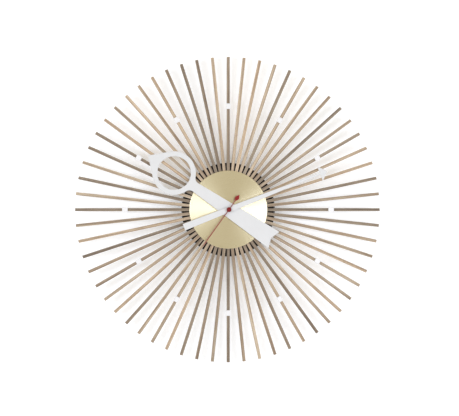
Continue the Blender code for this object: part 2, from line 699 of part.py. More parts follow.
def add_fastening(parent):
    """Bush, gasket, washer and nut, which clamp the movement, hub and dial together."""
    flange_radius, flange_thickness = BUSH_FLANGE
    flange_back = CASE_FRONT + FIT
    flange_front = flange_back + flange_thickness
    foot = FRONT_INNER + FIT / 3
    bush = [
        (BUSH_BORE, foot), (BUSH_RADIUS, foot), (BUSH_RADIUS, flange_back),
        (flange_radius, flange_back), (flange_radius, flange_front),
        (BUSH_RADIUS, flange_front), (BUSH_RADIUS, BUSH_FRONT), (BUSH_BORE, BUSH_FRONT),
    ]
    add_object("threaded_bush", turned("threaded_bush", bush, 20), BRASS, parent=parent)
    gasket = tube("rubber_gasket", GASKET_RADIUS, flange_radius + FIT, flange_back, HUB_BACK - FIT, 24)
    add_object("rubber_gasket", gasket, RUBBER, parent=parent)
    bore = BUSH_RADIUS + FIT
    washer_back = DIAL_FRONT + FIT
    washer = tube("washer", WASHER_RADIUS, bore, washer_back, washer_back + WASHER_THICKNESS, 24)
    add_object("washer", washer, STEEL, parent=parent)
    nut_back = washer_back + WASHER_THICKNESS + FIT
    block = prism("hex_nut", hexagon(NUT_FLATS), nut_back, nut_back + NUT_HEIGHT)
    nut = add_object("hex_nut", block, BRASS, parent=parent)
    cut(nut, "bore", rod("bore", bore, nut_back - 1, nut_back + NUT_HEIGHT + 1, 24))


# ---------------------------------------------------------------- going train, driven by the rotor


def add_second_wheel(parent):
    pinion_teeth = THIRD_STAGE[0]
    wheel_teeth = STEP_STAGE[1]
    wheel = gear("second_wheel", wheel_teeth, module_of(STEP_STAGE), STEP_DIRECTION, *SECOND_WHEEL_LAYER)
    obj = add_object("second_wheel", wheel, GEAR_PLASTIC, parent=parent)
    pinion = gear("pinion", pinion_teeth, module_of(THIRD_STAGE), THIRD_DIRECTION, *SECOND_PINION_LAYER)
    fuse(obj, "pinion", pinion)
    fuse(obj, "arbor", rod("arbor", SECOND_ARBOR, ARBOR_BACK, SECOND_BACK + SECOND_THICKNESS / 2))


def add_third_wheel(parent):
    wheel_teeth = THIRD_STAGE[1]
    pinion_teeth = CENTRE_STAGE[0]
    towards_centre = THIRD_DIRECTION + 180
    tooth_at = gap_at(towards_centre, wheel_teeth)
    wheel = gear("third_wheel", wheel_teeth, module_of(THIRD_STAGE), tooth_at, *THIRD_WHEEL_LAYER)
    obj = add_object("third_wheel", wheel, GEAR_PLASTIC, THIRD_AXIS, parent=parent)
    pinion = gear("pinion", pinion_teeth, module_of(CENTRE_STAGE), towards_centre, *THIRD_PINION_LAYER)
    fuse(obj, "pinion", pinion)
    fuse(obj, "arbor", rod("arbor", PIVOT_RADIUS, ARBOR_BACK, ARBOR_FRONT))


def add_centre_wheel(parent):
    """Sits on the minute pipe with friction, so the hands can be set without turning the train."""
    teeth = CENTRE_STAGE[1]
    tooth_at = gap_at(THIRD_DIRECTION, teeth)
    wheel = gear("centre_wheel", teeth, module_of(CENTRE_STAGE), tooth_at, *CENTRE_WHEEL_LAYER)
    obj = add_object("centre_wheel", wheel, GEAR_PLASTIC, parent=parent)
    fuse(obj, "hub", rod("hub", 3.2, *CENTRE_HUB_LAYER, 16))
    cut(obj, "bore", rod("bore", MINUTE_PIPE[0] + FIT, 0.0, CASE_FRONT, 16))


def add_step_wheel(parent):
    wheel_teeth = ROTOR_STAGE[1]
    pinion_teeth = STEP_STAGE[0]
    tooth_at = gap_at(ROTOR_DIRECTION, wheel_teeth)
    wheel = gear("step_wheel", wheel_teeth, module_of(ROTOR_STAGE), tooth_at, *STEP_WHEEL_LAYER)
    obj = add_object("step_wheel", wheel, GEAR_PLASTIC, STEP_AXIS, parent=parent)
    tooth_at = gap_at(STEP_DIRECTION + 180, pinion_teeth)
    pinion = gear("pinion", pinion_teeth, module_of(STEP_STAGE), tooth_at, *STEP_PINION_LAYER)
    fuse(obj, "pinion", pinion)
    fuse(obj, "arbor", rod("arbor", PIVOT_RADIUS, ARBOR_BACK, ARBOR_FRONT))


def add_rotor(parent):
    """A round magnet with a pinion on its arbor."""
    magnet = rod("rotor", MAGNET_RADIUS, *MAGNET_LAYER, 20)
    obj = add_object("rotor", magnet, STEEL, ROTOR_AXIS, parent=parent)
    towards_step = ROTOR_DIRECTION + 180
    pinion = gear("pinion", ROTOR_STAGE[0], module_of(ROTOR_STAGE), towards_step, *ROTOR_PINION_LAYER)
    fuse(obj, "pinion", pinion)
    fuse(obj, "arbor", rod("arbor", SECOND_ARBOR, ARBOR_BACK, ARBOR_FRONT))


# ---------------------------------------------------------------- motion work and setting knob


def add_minute_pipe(parent):
    """The cannon pinion and the long pipe that carries the minute hand."""
    front = MINUTE_BACK + HAND_THICKNESS + FIT
    pipe = rod("minute_pipe", MINUTE_PIPE[0], MINUTE_PIPE_BACK, front, 16)
    obj = add_object("minute_pipe", pipe, BRASS, parent=parent)
    module = module_of(CANNON_STAGE)
    fuse(obj, "pinion", gear("pinion", CANNON_STAGE[0], module, MOTION_DIRECTION, *CANNON_PINION_LAYER))
    cut(obj, "bore", rod("bore", MINUTE_PIPE[1], MINUTE_PIPE_BACK - 1, front + 1, 12))


def add_minute_wheel(parent):
    wheel_teeth = CANNON_STAGE[1]
    towards_centre = MOTION_DIRECTION + 180
    tooth_at = gap_at(towards_centre, wheel_teeth)
    wheel = gear("minute_wheel", wheel_teeth, module_of(CANNON_STAGE), tooth_at, *MINUTE_WHEEL_LAYER)
    obj = add_object("minute_wheel", wheel, GEAR_PLASTIC, MINUTE_WHEEL_AXIS, parent=parent)
    pinion = gear("pinion", HOUR_STAGE[0], module_of(HOUR_STAGE), towards_centre, *MINUTE_PINION_LAYER)
    fuse(obj, "pinion", pinion)
    cut(obj, "bore", rod("bore", STUD_RADIUS + FIT, STUD_BACK, CASE_FRONT, 12))


def add_hour_wheel(parent):
    teeth = HOUR_STAGE[1]
    tooth_at = gap_at(MOTION_DIRECTION, teeth)
    wheel = gear("hour_wheel", teeth, module_of(HOUR_STAGE), tooth_at, *HOUR_WHEEL_LAYER)
    obj = add_object("hour_wheel", wheel, GEAR_PLASTIC, parent=parent)
    front = HOUR_BACK + HAND_THICKNESS + FIT
    fuse(obj, "pipe", rod("pipe", HOUR_PIPE[0], HOUR_PIPE_BACK, front, 16))
    cut(obj, "bore", rod("bore", HOUR_PIPE[1], HOUR_PIPE_BACK - 1, front + 1, 16))


def add_setting_knob(parent):
    """A ribbed knob sunk in the cover, whose pinion turns the minute wheel."""
    knob = gear("setting_knob", KNOB_RIBS, 2 * KNOB_RADIUS / KNOB_RIBS, 0.0, *KNOB_LAYER)
    obj = add_object("setting_knob", knob, GEAR_PLASTIC, SETTING_AXIS, parent=parent)
    pinion_front = MINUTE_WHEEL_LAYER[1]
    root = KNOB_LAYER[1] - 0.5
    shoulder = pinion_front + FIT
    arbor = [
        (0, root), (KNOB_ARBOR_RADIUS, root), (KNOB_ARBOR_RADIUS, shoulder),
        (PIVOT_RADIUS, shoulder), (PIVOT_RADIUS, ARBOR_FRONT), (0, ARBOR_FRONT),
    ]
    fuse(obj, "arbor", turned("arbor", arbor, 12))
    # An even wheel has gaps on both sides, so this pinion needs a tooth towards it, as the cannon pinion has.
    towards_wheel = MOTION_DIRECTION + 180
    back = MINUTE_WHEEL_LAYER[0] - FIT
    pinion = gear("pinion", SETTING_TEETH, module_of(CANNON_STAGE), towards_wheel, back, pinion_front)
    fuse(obj, "pinion", pinion)


# ---------------------------------------------------------------- motor, circuit and battery


def add_stator(parent):
    """A soft-iron plate round the rotor, with two arms up to the coil."""
    left, right = STATOR_SIDES
    arm_left = left + STATOR_ARM
    arm_right = right - STATOR_ARM
    outline = [
        (left, STATOR_LOW), (left, STATOR_HIGH), (arm_left, STATOR_HIGH), (arm_left, STATOR_BRIDGE),
        (arm_right, STATOR_BRIDGE), (arm_right, STATOR_HIGH), (right, STATOR_HIGH), (right, STATOR_LOW),
    ]
    stator = add_object("stator", prism("stator", outline, *STATOR_LAYER), STEEL, parent=parent)
    hole = rod("rotor_hole", MAGNET_RADIUS + STATOR_HOLE_GAP, STATOR_LAYER[0] - 1, STATOR_LAYER[1] + 1, 20)
    cut(stator, "rotor_hole", moved_mesh(hole, *ROTOR_AXIS))


def lay_along(mesh, axis, degrees, depth):
    """Turns a mesh made along Y to lie across it at a depth, and leaves its place to its object."""
    turn = Matrix.Rotation(math.radians(degrees), 4, axis)
    return moved_mesh(mesh, 0.0, 0.0, depth, turn)


def add_coil(parent):
    """A bobbin wound with copper, lying along X between the stator's arms."""
    flange, thickness = BOBBIN_FLANGE
    far = COIL_LENGTH - thickness
    profile = [
        (0, 0), (flange, 0), (flange, thickness), (WINDING_RADIUS, thickness), (WINDING_RADIUS, far),
        (flange, far), (flange, COIL_LENGTH), (0, COIL_LENGTH),
    ]
    coil = lay_along(turned("coil", profile, 16), "Z", -90, COIL_DEPTH)
    add_object("coil", coil, COPPER, COIL_END, parent=parent)


def add_circuit(parent):
    board = prism("circuit_board", rounded_box(*BOARD_SIDES, 1.0, 2), *BOARD_LAYER)
    add_object("circuit_board", board, BOARD, parent=parent)
    crystal = rod("quartz_crystal", CRYSTAL_RADIUS, 0, CRYSTAL_LENGTH, 16)
    crystal = lay_along(crystal, "X", -90, CRYSTAL_DEPTH)
    add_object("quartz_crystal", crystal, STEEL, CRYSTAL_FOOT, parent=parent)


def battery_place():
    """Height of the battery's axis, and its depth from the wall."""
    return CASE_LOW + CASE_WALL + FIT + BATTERY_RADIUS, FRONT_INNER - FIT - BATTERY_RADIUS


def add_battery(parent):
    height, depth = battery_place()
    nub_radius, nub_length = BATTERY_NUB
    end = BATTERY_LENGTH + nub_length
    shoulder = BATTERY_RADIUS - BATTERY_EDGE
    profile = [
        (0, 0), (shoulder, 0), (BATTERY_RADIUS, BATTERY_EDGE), (BATTERY_RADIUS, BATTERY_LENGTH - BATTERY_EDGE),
        (shoulder, BATTERY_LENGTH), (nub_radius, BATTERY_LENGTH), (nub_radius, end), (0, end),
    ]
    battery = lay_along(turned("battery", profile, 24), "Z", 90, depth)
    add_object("battery", battery, BATTERY_SLEEVE, (BATTERY_START, height), parent=parent)


def add_positive_contact(parent):
    """A flat plate against the case's side wall."""
    height, depth = battery_place()
    wall = CASE_HALF - CASE_WALL
    clear = 0.05
    low, high = height - CONTACT_HALF, height + CONTACT_HALF
    plate = rounded_box(wall - clear - CONTACT_THICKNESS, wall - clear, low, high, CONTACT_THICKNESS / 4, 1)
    to_wall, to_dial = CONTACT_REACH
    contact = prism("positive_contact", plate, depth - to_wall, depth + to_dial)
    add_object("positive_contact", contact, STEEL, parent=parent)


def add_negative_spring(parent):
    """A cone of spring wire, wide against the case and narrow against the battery."""
    height, depth = battery_place()
    clear = 0.05
    start = -(CASE_HALF - CASE_WALL) + clear + SPRING_WIRE
    end = BATTERY_START - FIT + clear - SPRING_WIRE
    widest, narrowest = SPRING_RADII
    curve = bpy.data.curves.new("negative_spring", "CURVE")
    curve.dimensions = "3D"
    curve.bevel_depth = SPRING_WIRE * MM
    curve.bevel_resolution = 1
    curve.use_fill_caps = True
    count = round(SPRING_TURNS * SPRING_POINTS)
    spline = curve.splines.new("POLY")
    spline.points.add(count)
    for index, point in enumerate(spline.points):
        share = index / count
        angle = share * SPRING_TURNS * math.tau
        radius = widest + (narrowest - widest) * share
        x = start + (end - start) * share
        y = -depth + radius * math.cos(angle)
        z = radius * math.sin(angle)
        point.co = (x * MM, y * MM, z * MM, 1.0)
    add_object("negative_spring", curve, STEEL, (0.0, height), parent=parent)


# ---------------------------------------------------------------- assembly


def build_clock():
    clear_scene()
    clock = empty("clock")
    add_rear_housing(clock)
    add_hanger(clock)
    add_screws(clock)
    add_ray_hub(clock)
    add_rays(clock)
    add_hour_markers(clock)
    add_dial(clock)
    movement = empty("movement", parent=clock)
    add_movement_case(movement)
    add_movement_cover(movement)
    add_fastening(movement)
    add_stator(movement)
    add_coil(movement)
    add_circuit(movement)
    add_positive_contact(movement)
    add_negative_spring(movement)
    add_battery(movement)
    hour_axis = empty("hour_axis", parent=clock)
    add_hour_wheel(hour_axis)
    add_hour_hand(hour_axis)
    minute_axis = empty("minute_axis", parent=clock)
    add_minute_pipe(minute_axis)
    add_minute_hand(minute_axis)
    second_axis = empty("second_axis", parent=clock)
    add_second_wheel(second_axis)
    add_second_hand(second_axis)
    add_centre_cap(second_axis)
    add_centre_wheel(movement)
    add_third_wheel(movement)
    add_step_wheel(movement)
    add_rotor(movement)
    add_minute_wheel(movement)
    add_setting_knob(movement)


build_clock()
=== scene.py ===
"""Finished look of a sunburst wall clock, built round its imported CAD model.

The clock faces -Y and hangs on a wall at y = 0. Its hands turn about the Y axis, and 12 o'clock is towards
+Z. Lengths are in millimetres until a mesh is made. A depth is a distance in front of the wall, an (x, z)
pair is a place seen from the front, and a clockwise angle starts at 12 o'clock.
"""

import functools
import json
import random
from math import acos, atan2, copysign, cos, degrees, hypot, pi, radians, sin, sqrt, tan, tau

import bmesh
import bpy
from mathutils import Matrix, Vector
from mathutils.geometry import tessellate_polygon


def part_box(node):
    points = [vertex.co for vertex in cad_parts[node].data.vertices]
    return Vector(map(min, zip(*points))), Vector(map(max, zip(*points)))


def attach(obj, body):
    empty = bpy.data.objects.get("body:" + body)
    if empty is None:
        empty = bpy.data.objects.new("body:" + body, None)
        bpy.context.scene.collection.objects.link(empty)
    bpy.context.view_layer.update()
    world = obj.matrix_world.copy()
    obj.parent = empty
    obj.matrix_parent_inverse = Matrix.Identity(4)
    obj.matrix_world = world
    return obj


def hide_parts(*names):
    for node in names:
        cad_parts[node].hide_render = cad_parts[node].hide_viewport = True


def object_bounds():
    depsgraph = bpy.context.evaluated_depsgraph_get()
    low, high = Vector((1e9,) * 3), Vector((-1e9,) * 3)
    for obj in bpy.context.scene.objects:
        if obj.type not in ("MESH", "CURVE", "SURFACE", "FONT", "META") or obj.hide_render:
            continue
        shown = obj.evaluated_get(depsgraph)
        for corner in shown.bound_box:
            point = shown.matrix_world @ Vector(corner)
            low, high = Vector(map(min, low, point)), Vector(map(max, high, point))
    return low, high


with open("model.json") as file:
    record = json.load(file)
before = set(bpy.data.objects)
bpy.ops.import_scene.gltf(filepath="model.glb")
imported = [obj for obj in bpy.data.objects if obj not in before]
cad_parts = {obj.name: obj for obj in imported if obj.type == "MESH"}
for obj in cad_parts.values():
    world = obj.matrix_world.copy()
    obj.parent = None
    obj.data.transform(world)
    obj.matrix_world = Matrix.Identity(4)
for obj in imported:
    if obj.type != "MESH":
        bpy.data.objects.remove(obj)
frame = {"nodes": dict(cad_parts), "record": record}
CAD_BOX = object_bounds()

MM = 0.001
FIT = 0.3  # gap between neighbouring pieces
CENTRE = (0.0, 0.0)
BODY_OF = {node: body for body, nodes in frame["record"]["behaviour"]["bodies"].items() for node in nodes}
SLOT_OF = {row["node"]: row["material_slot"] for row in frame["record"]["subparts"]}


def depths(node):
    """Back and front of a CAD node, as distances from the wall."""
    low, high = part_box(node)
    return -high.y / MM, -low.y / MM


def sides(node):
    """Left, right, low and high sides of a CAD node, seen from the front."""
    low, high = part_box(node)
    return low.x / MM, high.x / MM, low.z / MM, high.z / MM


def middle(node):
    """The middle of a CAD node, seen from the front."""
    left, right, low, high = sides(node)
    return ((left + right) / 2, (low + high) / 2)


def round_size(node):
    """Radius, back and front of a round CAD node."""
    left, right, _, _ = sides(node)
    return ((right - left) / 2, *depths(node))


# ---- sizes

ROUND = 192  # segments in a large turned piece
CLOCK_RADIUS = sides("ray_fan_12")[3]
RAY_COUNT = 60
RAY_WIDTH = 4.6
RAY_INNER_RADIUS = 38.0
RAY_BACK, RAY_FRONT = depths("ray_fan_12")
HUB_BACK = depths("ray_hub")[0]
HUB_RADIUS = 72.0
HUB_PLATE_RADIUS = 70.5
HUB_PLATE = 2.7
HUB_BOSS_RADIUS = 30.0
COMB_INNER_RADIUS = 52.5
MARKER_WIDTH = 7.5
MARKER_GROOVE = 2 * FIT + RAY_WIDTH
BUSH_RADIUS = 4.0
BUSH_HOLE = BUSH_RADIUS + FIT
BUSH_BORE = 2.8
BUSH_PITCH = 0.75
BUSH_GROOVE = 0.22
NUT_FLATS = 11.0
SCREW_CIRCLE = 47.5
SCREW_RADIUS = 1.5
SCREW_HOLE = SCREW_RADIUS + FIT
SCREW_PITCH = 0.6
SCREW_GROOVE = 0.2
SCREW_SLOT_HALF = 0.4
SCREW_SLOT_DEPTH = 1.0
HANGER_SCREWS = ("hanger_screw_left", "hanger_screw_right")
HOUSING_SHEET = 2.0
CASE_CORNER = 5.0

HAND_EDGE = 0.22
HOUR_ANGLE = 303.8
HOUR_PIVOT_WIDTH = 21.4
HOUR_TAPER = 0.108  # width lost per millimetre towards the ring
HOUR_RING_CENTRE = 100.8
HOUR_RING_RADIUS = 33.4
HOUR_RING_HOLE = 25.7
HOUR_NOSE = 149.0
HOUR_FILLET = 9.15
HOUR_TAIL_TIP = -84.2
HOUR_TAIL_NOTCH = -78.6
HOUR_PIPE_RADIUS = 2.5
MINUTE_ANGLE = 68.6
MINUTE_PIVOT_WIDTH = 8.2
MINUTE_TAPER = 0.0315
MINUTE_TAIL = -74.0
MINUTE_HEAD_BASE = 151.3
MINUTE_HEAD_HALF = 11.9
MINUTE_TIP = 163.3
MINUTE_PIPE_RADIUS = 1.65
SECOND_ANGLE = 215.5
SECOND_SHEET = 0.6
SECOND_WIDTH = 1.1
SECOND_TIP = 70.0
SECOND_KITE = (-17.0, -21.6, -28.0)  # start, widest point and end of the counterweight
SECOND_KITE_HALF = 3.4
SECOND_EYE_RADIUS = 2.4
SECOND_BORE = 0.8


# ---- outlines


def step_from(place, clockwise, distance):
    """The place at this distance from another, in a clockwise direction from 12 o'clock."""
    turn = radians(clockwise)
    return (place[0] + distance * sin(turn), place[1] + distance * cos(turn))


def arc(centre, radius, start, end, count):
    """Points on an arc between two clockwise angles, ends included."""
    return [step_from(centre, start + (end - start) * i / count, radius) for i in range(count + 1)]


def circle(centre, radius, count):
    return arc(centre, radius, 0, 360, count)[:-1]


def mirrored(half):
    """A closed outline from its right half, listed from top to bottom."""
    return half + [(-x, z) for x, z in reversed(half) if abs(x) > 1e-6]


def turned_about_centre(outline, clockwise):
    """An outline turned clockwise about the hands' axis."""
    turn = radians(clockwise)
    cosine, sine = cos(turn), sin(turn)
    return [(x * cosine + z * sine, z * cosine - x * sine) for x, z in outline]


def box_outline(left, right, low, high):
    return [(left, low), (left, high), (right, high), (right, low)]


def rounded(points, radius, steps, closed=True):
    """An outline with each corner replaced by an arc, smaller where a side is too short."""
    corners = [Vector(point) for point in points]
    result = []
    for index, here in enumerate(corners):
        back = corners[index - 1] - here
        ahead = corners[(index + 1) % len(corners)] - here
        half = back.angle(ahead) / 2
        at_end = not closed and index in (0, len(corners) - 1)
        if at_end or half > radians(88):
            result.append(tuple(here))
            continue
        reach = min(radius / tan(half), back.length * 0.45, ahead.length * 0.45)
        inner = reach * tan(half)
        back.normalize()
        ahead.normalize()
        pivot = here + (back + ahead).normalized() * inner / sin(half)
        start = here + back * reach - pivot
        end = here + ahead * reach - pivot
        for step in range(steps + 1):
            share = step / steps
            spoke = start * (1 - share) + end * share
            result.append(tuple(pivot + spoke.normalized() * inner))
    return result


def facing_left(loop, left):
    """The loop, reversed if needed, so that it runs with its inside on its left or on its right."""
    area = sum(a[0] * b[1] - b[0] * a[1] for a, b in zip(loop, loop[1:] + loop[:1]))
    return loop if (area > 0) == left else loop[::-1]


def moved_left(loop, distance):
    """A closed loop with each side moved to its left, and its corners mitred."""
    corners = [Vector(point) for point in loop]
    moved = []
    for index, here in enumerate(corners):
        arriving = (here - corners[index - 1]).normalized()
        leaving = (corners[(index + 1) % len(corners)] - here).normalized()
        across = Vector((-arriving.y - leaving.y, arriving.x + leaving.x))
        moved.append(here + across * distance / (1 + arriving.dot(leaving)))
    return moved


# ---- meshes


def point(x, depth, z):
    return Vector((x * MM, -depth * MM, z * MM))


def quarter(steps):
    """The sine and cosine at even steps through a quarter turn, ends included."""
    turns = [step / steps * pi / 2 for step in range(steps + 1)]
    return [(sin(turn), cos(turn)) for turn in turns]


def add_plate(build, outline, back, front, edge, holes=(), steps=3):
    """Adds a flat plate with rounded edges to a bmesh. Its rim faces take the second material."""
    eased = [(edge * (1 - sine), edge * (1 - cosine)) for sine, cosine in quarter(steps)]
    layers = [(inset, back + rise) for inset, rise in eased]
    layers += [(inset, front - rise) for inset, rise in reversed(eased)]
    loops = [facing_left(list(outline), True)] + [facing_left(list(hole), False) for hole in holes]
    caps = [[] for _ in layers]
    for loop in loops:
        rings = []
        for layer, (inset, depth) in enumerate(layers):
            places = moved_left(loop, inset)
            ring = [build.verts.new(point(place.x, depth, place.y)) for place in places]
            rings.append(ring)
            caps[layer].extend(ring)
        for layer, (ring, following) in enumerate(zip(rings, rings[1:])):
            for index in range(len(ring)):
                after = (index + 1) % len(ring)
                face = build.faces.new((ring[index], ring[after], following[after], following[index]))
                face.material_index = 0 if layer == steps else 1
    flat = [[Vector((place.x, place.y, 0)) for place in moved_left(loop, edge)] for loop in loops]
    for corners in tessellate_polygon(flat):
        for cap in (caps[0], caps[-1]):
            build.faces.new([cap[corner] for corner in corners])


def mesh_of(build, slot=None):
    """A mesh from a bmesh, closed and facing out, with the face and edge materials of a slot."""
    bmesh.ops.remove_doubles(build, verts=build.verts, dist=1e-7)
    bmesh.ops.recalc_face_normals(build, faces=build.faces)
    mesh = bpy.data.meshes.new(slot or "tool")
    build.to_mesh(mesh)
    build.free()
    for material in finish(slot) if slot else []:
        mesh.materials.append(material)
    return mesh


def plate(slot, outline, back, front, edge, holes=(), steps=3):
    build = bmesh.new()
    add_plate(build, outline, back, front, edge, holes, steps)
    return mesh_of(build, slot)


def turned(slot, profile, segments=ROUND, closed=True):
    """A piece turned about the Y axis from (radius, depth) points.

    The faces of its rounded edges, which lean both ways, take the second material.
    """
    build = bmesh.new()
    start = [build.verts.new(point(radius, depth, 0)) for radius, depth in profile]
    edges = [build.edges.new(pair) for pair in zip(start, start[1:])]
    if closed:
        edges.append(build.edges.new((start[-1], start[0])))
    turn = {"cent": (0, 0, 0), "axis": (0, 1, 0), "angle": tau}
    bmesh.ops.spin(build, geom=start + edges, steps=segments, use_merge=True, **turn)
    mesh = mesh_of(build, slot)
    for face in mesh.polygons:
        lean = abs(face.normal.y)
        face.material_index = 1 if slot and 0.05 < lean < 0.998 else 0
    return mesh


def rod(slot, radius, back, front, edge=0.1, segments=32):
    profile = [(0, back), (radius, back), (radius, front), (0, front)]
    return turned(slot, rounded(profile, edge, 3, closed=False), segments, closed=False)


def tool(outline, back, front):
    """A plain extrusion for cutting with."""
    return plate(None, outline, back, front, edge=0.001, steps=1)


def moved(mesh, x, z, depth=0.0, turn=None):
    """The mesh after an optional turn, moved to a place and depth."""
    matrix = Matrix.Translation(point(x, depth, z))
    mesh.transform(matrix @ turn if turn else matrix)
    return mesh


def in_scene(name, data):
    """A new object, linked into the scene."""
    obj = bpy.data.objects.new(name, data)
    bpy.context.scene.collection.objects.link(obj)
    return obj


def evaluated(obj):
    """The mesh that an object shows after its modifiers or its curve's bevel."""
    graph = bpy.context.evaluated_depsgraph_get()
    return bpy.data.meshes.new_from_object(obj.evaluated_get(graph), depsgraph=graph)


def joined(mesh, other, operation="UNION"):
    """The mesh after a Boolean with another mesh."""
    owner = in_scene("owner", mesh)
    helper = in_scene("helper", other)
    modifier = owner.modifiers.new("joined", "BOOLEAN")
    modifier.operation = operation
    modifier.solver = "MANIFOLD"
    modifier.object = helper
    result = evaluated(owner)
    for obj in (owner, helper):
        bpy.data.objects.remove(obj)
    return result


def drill(place, radius, back, front, *rest):
    """A rod for cutting a round hole at a place."""
    return moved(rod(None, radius, back, front, *rest), *place)


def carved(mesh, *tools):
    for other in tools:
        mesh = joined(mesh, other, "DIFFERENCE")
    return mesh


def stand_in(mesh, node, name=None, clockwise=0.0, place=CENTRE, smooth_below=35.0):
    """Shows a mesh as a piece that stands for a CAD node and rides on its body."""
    piece = in_scene(name or f"{node}_finished", mesh)
    piece.location = point(place[0], 0, place[1])
    piece.rotation_euler = (0.0, radians(clockwise), 0.0)
    mesh.shade_smooth()
    mesh.set_sharp_from_angle(angle=radians(smooth_below))
    piece.modifiers.new("even_shading", "WEIGHTED_NORMAL").keep_sharp = True
    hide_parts(node)
    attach(piece, BODY_OF[node])
    return piece


# ---- material building blocks


class Look:
    """The nodes of one procedural material. Inputs are named in lower case, as in base_color."""

    def __init__(self, name, **inputs):
        self.material = bpy.data.materials.new(name)
        self.material.use_nodes = True
        self.tree = self.material.node_tree
        self.shader = self.tree.nodes["Principled BSDF"]
        self.feed(self.shader, **inputs)

    def join(self, value, socket):
        if isinstance(value, bpy.types.NodeSocket):
            self.tree.links.new(value, socket)
        elif socket.type == "RGBA":
            socket.default_value = (*value, 1.0)
        else:
            socket.default_value = value

    def made(self, colour, roughness, normal, **inputs):
        self.feed(self.shader, base_color=colour, roughness=roughness, normal=normal, **inputs)
        return self.material

    def feed(self, node, **inputs):
        sockets = {socket.name.lower().replace(" ", "_"): socket for socket in reversed(node.inputs)}
        for name, value in inputs.items():
            self.join(value, sockets[name])

    def node(self, kind, **settings):
        made = self.tree.nodes.new("ShaderNode" + kind)
        for name, value in settings.items():
            setattr(made, name, value)
        return made

    def place(self, kind="Object"):
        return self.node("TexCoord").outputs[kind]

    def through(self, kind, *values, **settings):
        """The outputs of a new node, with values at its first inputs."""
        made = self.node(kind, **settings)
        for value, socket in zip(values, made.inputs):
            self.join(value, socket)
        return made.outputs

    def maths(self, operation, *values):
        return self.through("Math", *values, operation=operation)[0]

    def times(self, first, second):
        return self.maths("MULTIPLY", first, second)

    def blend(self, first, second, first_share, second_share):
        """The sum of two numbers, each times its share."""
        return self.maths("ADD", self.times(first, first_share), self.times(second, second_share))

    def vector(self, operation, *values):
        outputs = self.through("VectorMath", *values, operation=operation)
        return outputs["Value" if operation == "LENGTH" else "Vector"]

    def split(self, vector):
        return self.through("SeparateXYZ", vector)

    def combine(self, x, y, z):
        return self.through("CombineXYZ", x, y, z)[0]

    def noise(self, vector, scale, detail=3.0, roughness=0.5, stretch=None):
        """Noise with features about 1/scale metres across, after an optional stretch along the axes."""
        if stretch:
            vector = self.vector("MULTIPLY", vector, stretch)
        made = self.node("TexNoise")
        self.feed(made, vector=vector, scale=scale, detail=detail, roughness=roughness)
        return made.outputs["Fac"]

    def ease(self, value, low, high):
        """0 below low, 1 above high and smooth between."""
        return self.through("MapRange", value, low, high, interpolation_type="SMOOTHSTEP")["Result"]

    def between(self, share, low, high):
        """From low to high as share goes from 0 to 1."""
        return self.through("MapRange", share, 0.0, 1.0, low, high)["Result"]

    def ramp(self, value, *stops):
        made = self.node("ValToRGB")
        elements = made.color_ramp.elements
        elements.remove(elements[-1])
        for index, (position, colour) in enumerate(stops):
            element = elements[0] if index == 0 else elements.new(position)
            element.position = position
            element.color = (*colour, 1.0)
        self.join(value, made.inputs["Fac"])
        return made.outputs["Color"]

    def mix(self, share, first, second, blend="MIX"):
        made = self.node("Mix", data_type="RGBA", blend_type=blend)
        first_socket, second_socket = (socket for socket in made.inputs if socket.type == "RGBA")
        self.join(share, made.inputs["Factor"])
        self.join(first, first_socket)
        self.join(second, second_socket)
        return next(socket for socket in made.outputs if socket.type == "RGBA")

    def bump(self, height, depth_mm):
        made = self.node("Bump")
        self.feed(made, height=height, distance=depth_mm * MM)
        return made.outputs["Normal"]


def tinted(colour, share):
    """A colour made darker or lighter by a share."""
    return tuple(min(1.0, channel * share) for channel in colour)


# ---- materials


def wood(name, worn):
    """Open-grained brown wood along a piece's Z axis. The object's colour holds tone, seed and warmth."""
    look = Look(name)
    tone, seed, warmth = look.through("SeparateColor", look.node("ObjectInfo").outputs["Color"])
    shift = look.combine(seed, look.times(seed, 0.7), look.times(seed, 3.1))
    place = look.vector("ADD", look.place(), shift)
    growth = look.noise(place, 1.0, 4.0, 0.62, (520, 520, 9))
    fibre = look.noise(place, 1.0, 3.0, 0.6, (2600, 2600, 45))
    pores = look.ease(look.noise(place, 1.0, 2.0, 0.5, (4200, 4200, 210)), 0.6, 0.68)
    streak = look.blend(growth, fibre, 0.62, 0.38)
    colour = look.ramp(
        streak,
        (0.34, (0.185, 0.127, 0.076)),
        (0.45, (0.325, 0.238, 0.154)),
        (0.55, (0.490, 0.382, 0.260)),
        (0.68, (0.680, 0.572, 0.415)),
    )
    colour = look.mix(look.times(pores, 0.55), colour, (0.085, 0.052, 0.034))
    colour = look.mix(look.times(warmth, 0.3), colour, (1.0, 0.80, 0.62), "MULTIPLY")
    bright = look.between(tone, 0.5, 1.25)
    colour = look.vector("MULTIPLY", colour, look.combine(bright, bright, bright))
    along = look.split(look.place("Normal"))[2]
    end_grain = look.ease(look.maths("ABSOLUTE", along), 0.8, 0.95)
    colour = look.mix(look.times(end_grain, 0.6), colour, (0.11, 0.072, 0.048))
    if worn:
        colour = look.mix(0.25, colour, (0.60, 0.49, 0.36))
    relief = look.maths("SUBTRACT", look.times(fibre, 0.5), pores)
    return look.made(colour, look.between(streak, 0.68, 0.5), look.bump(relief, 0.05))


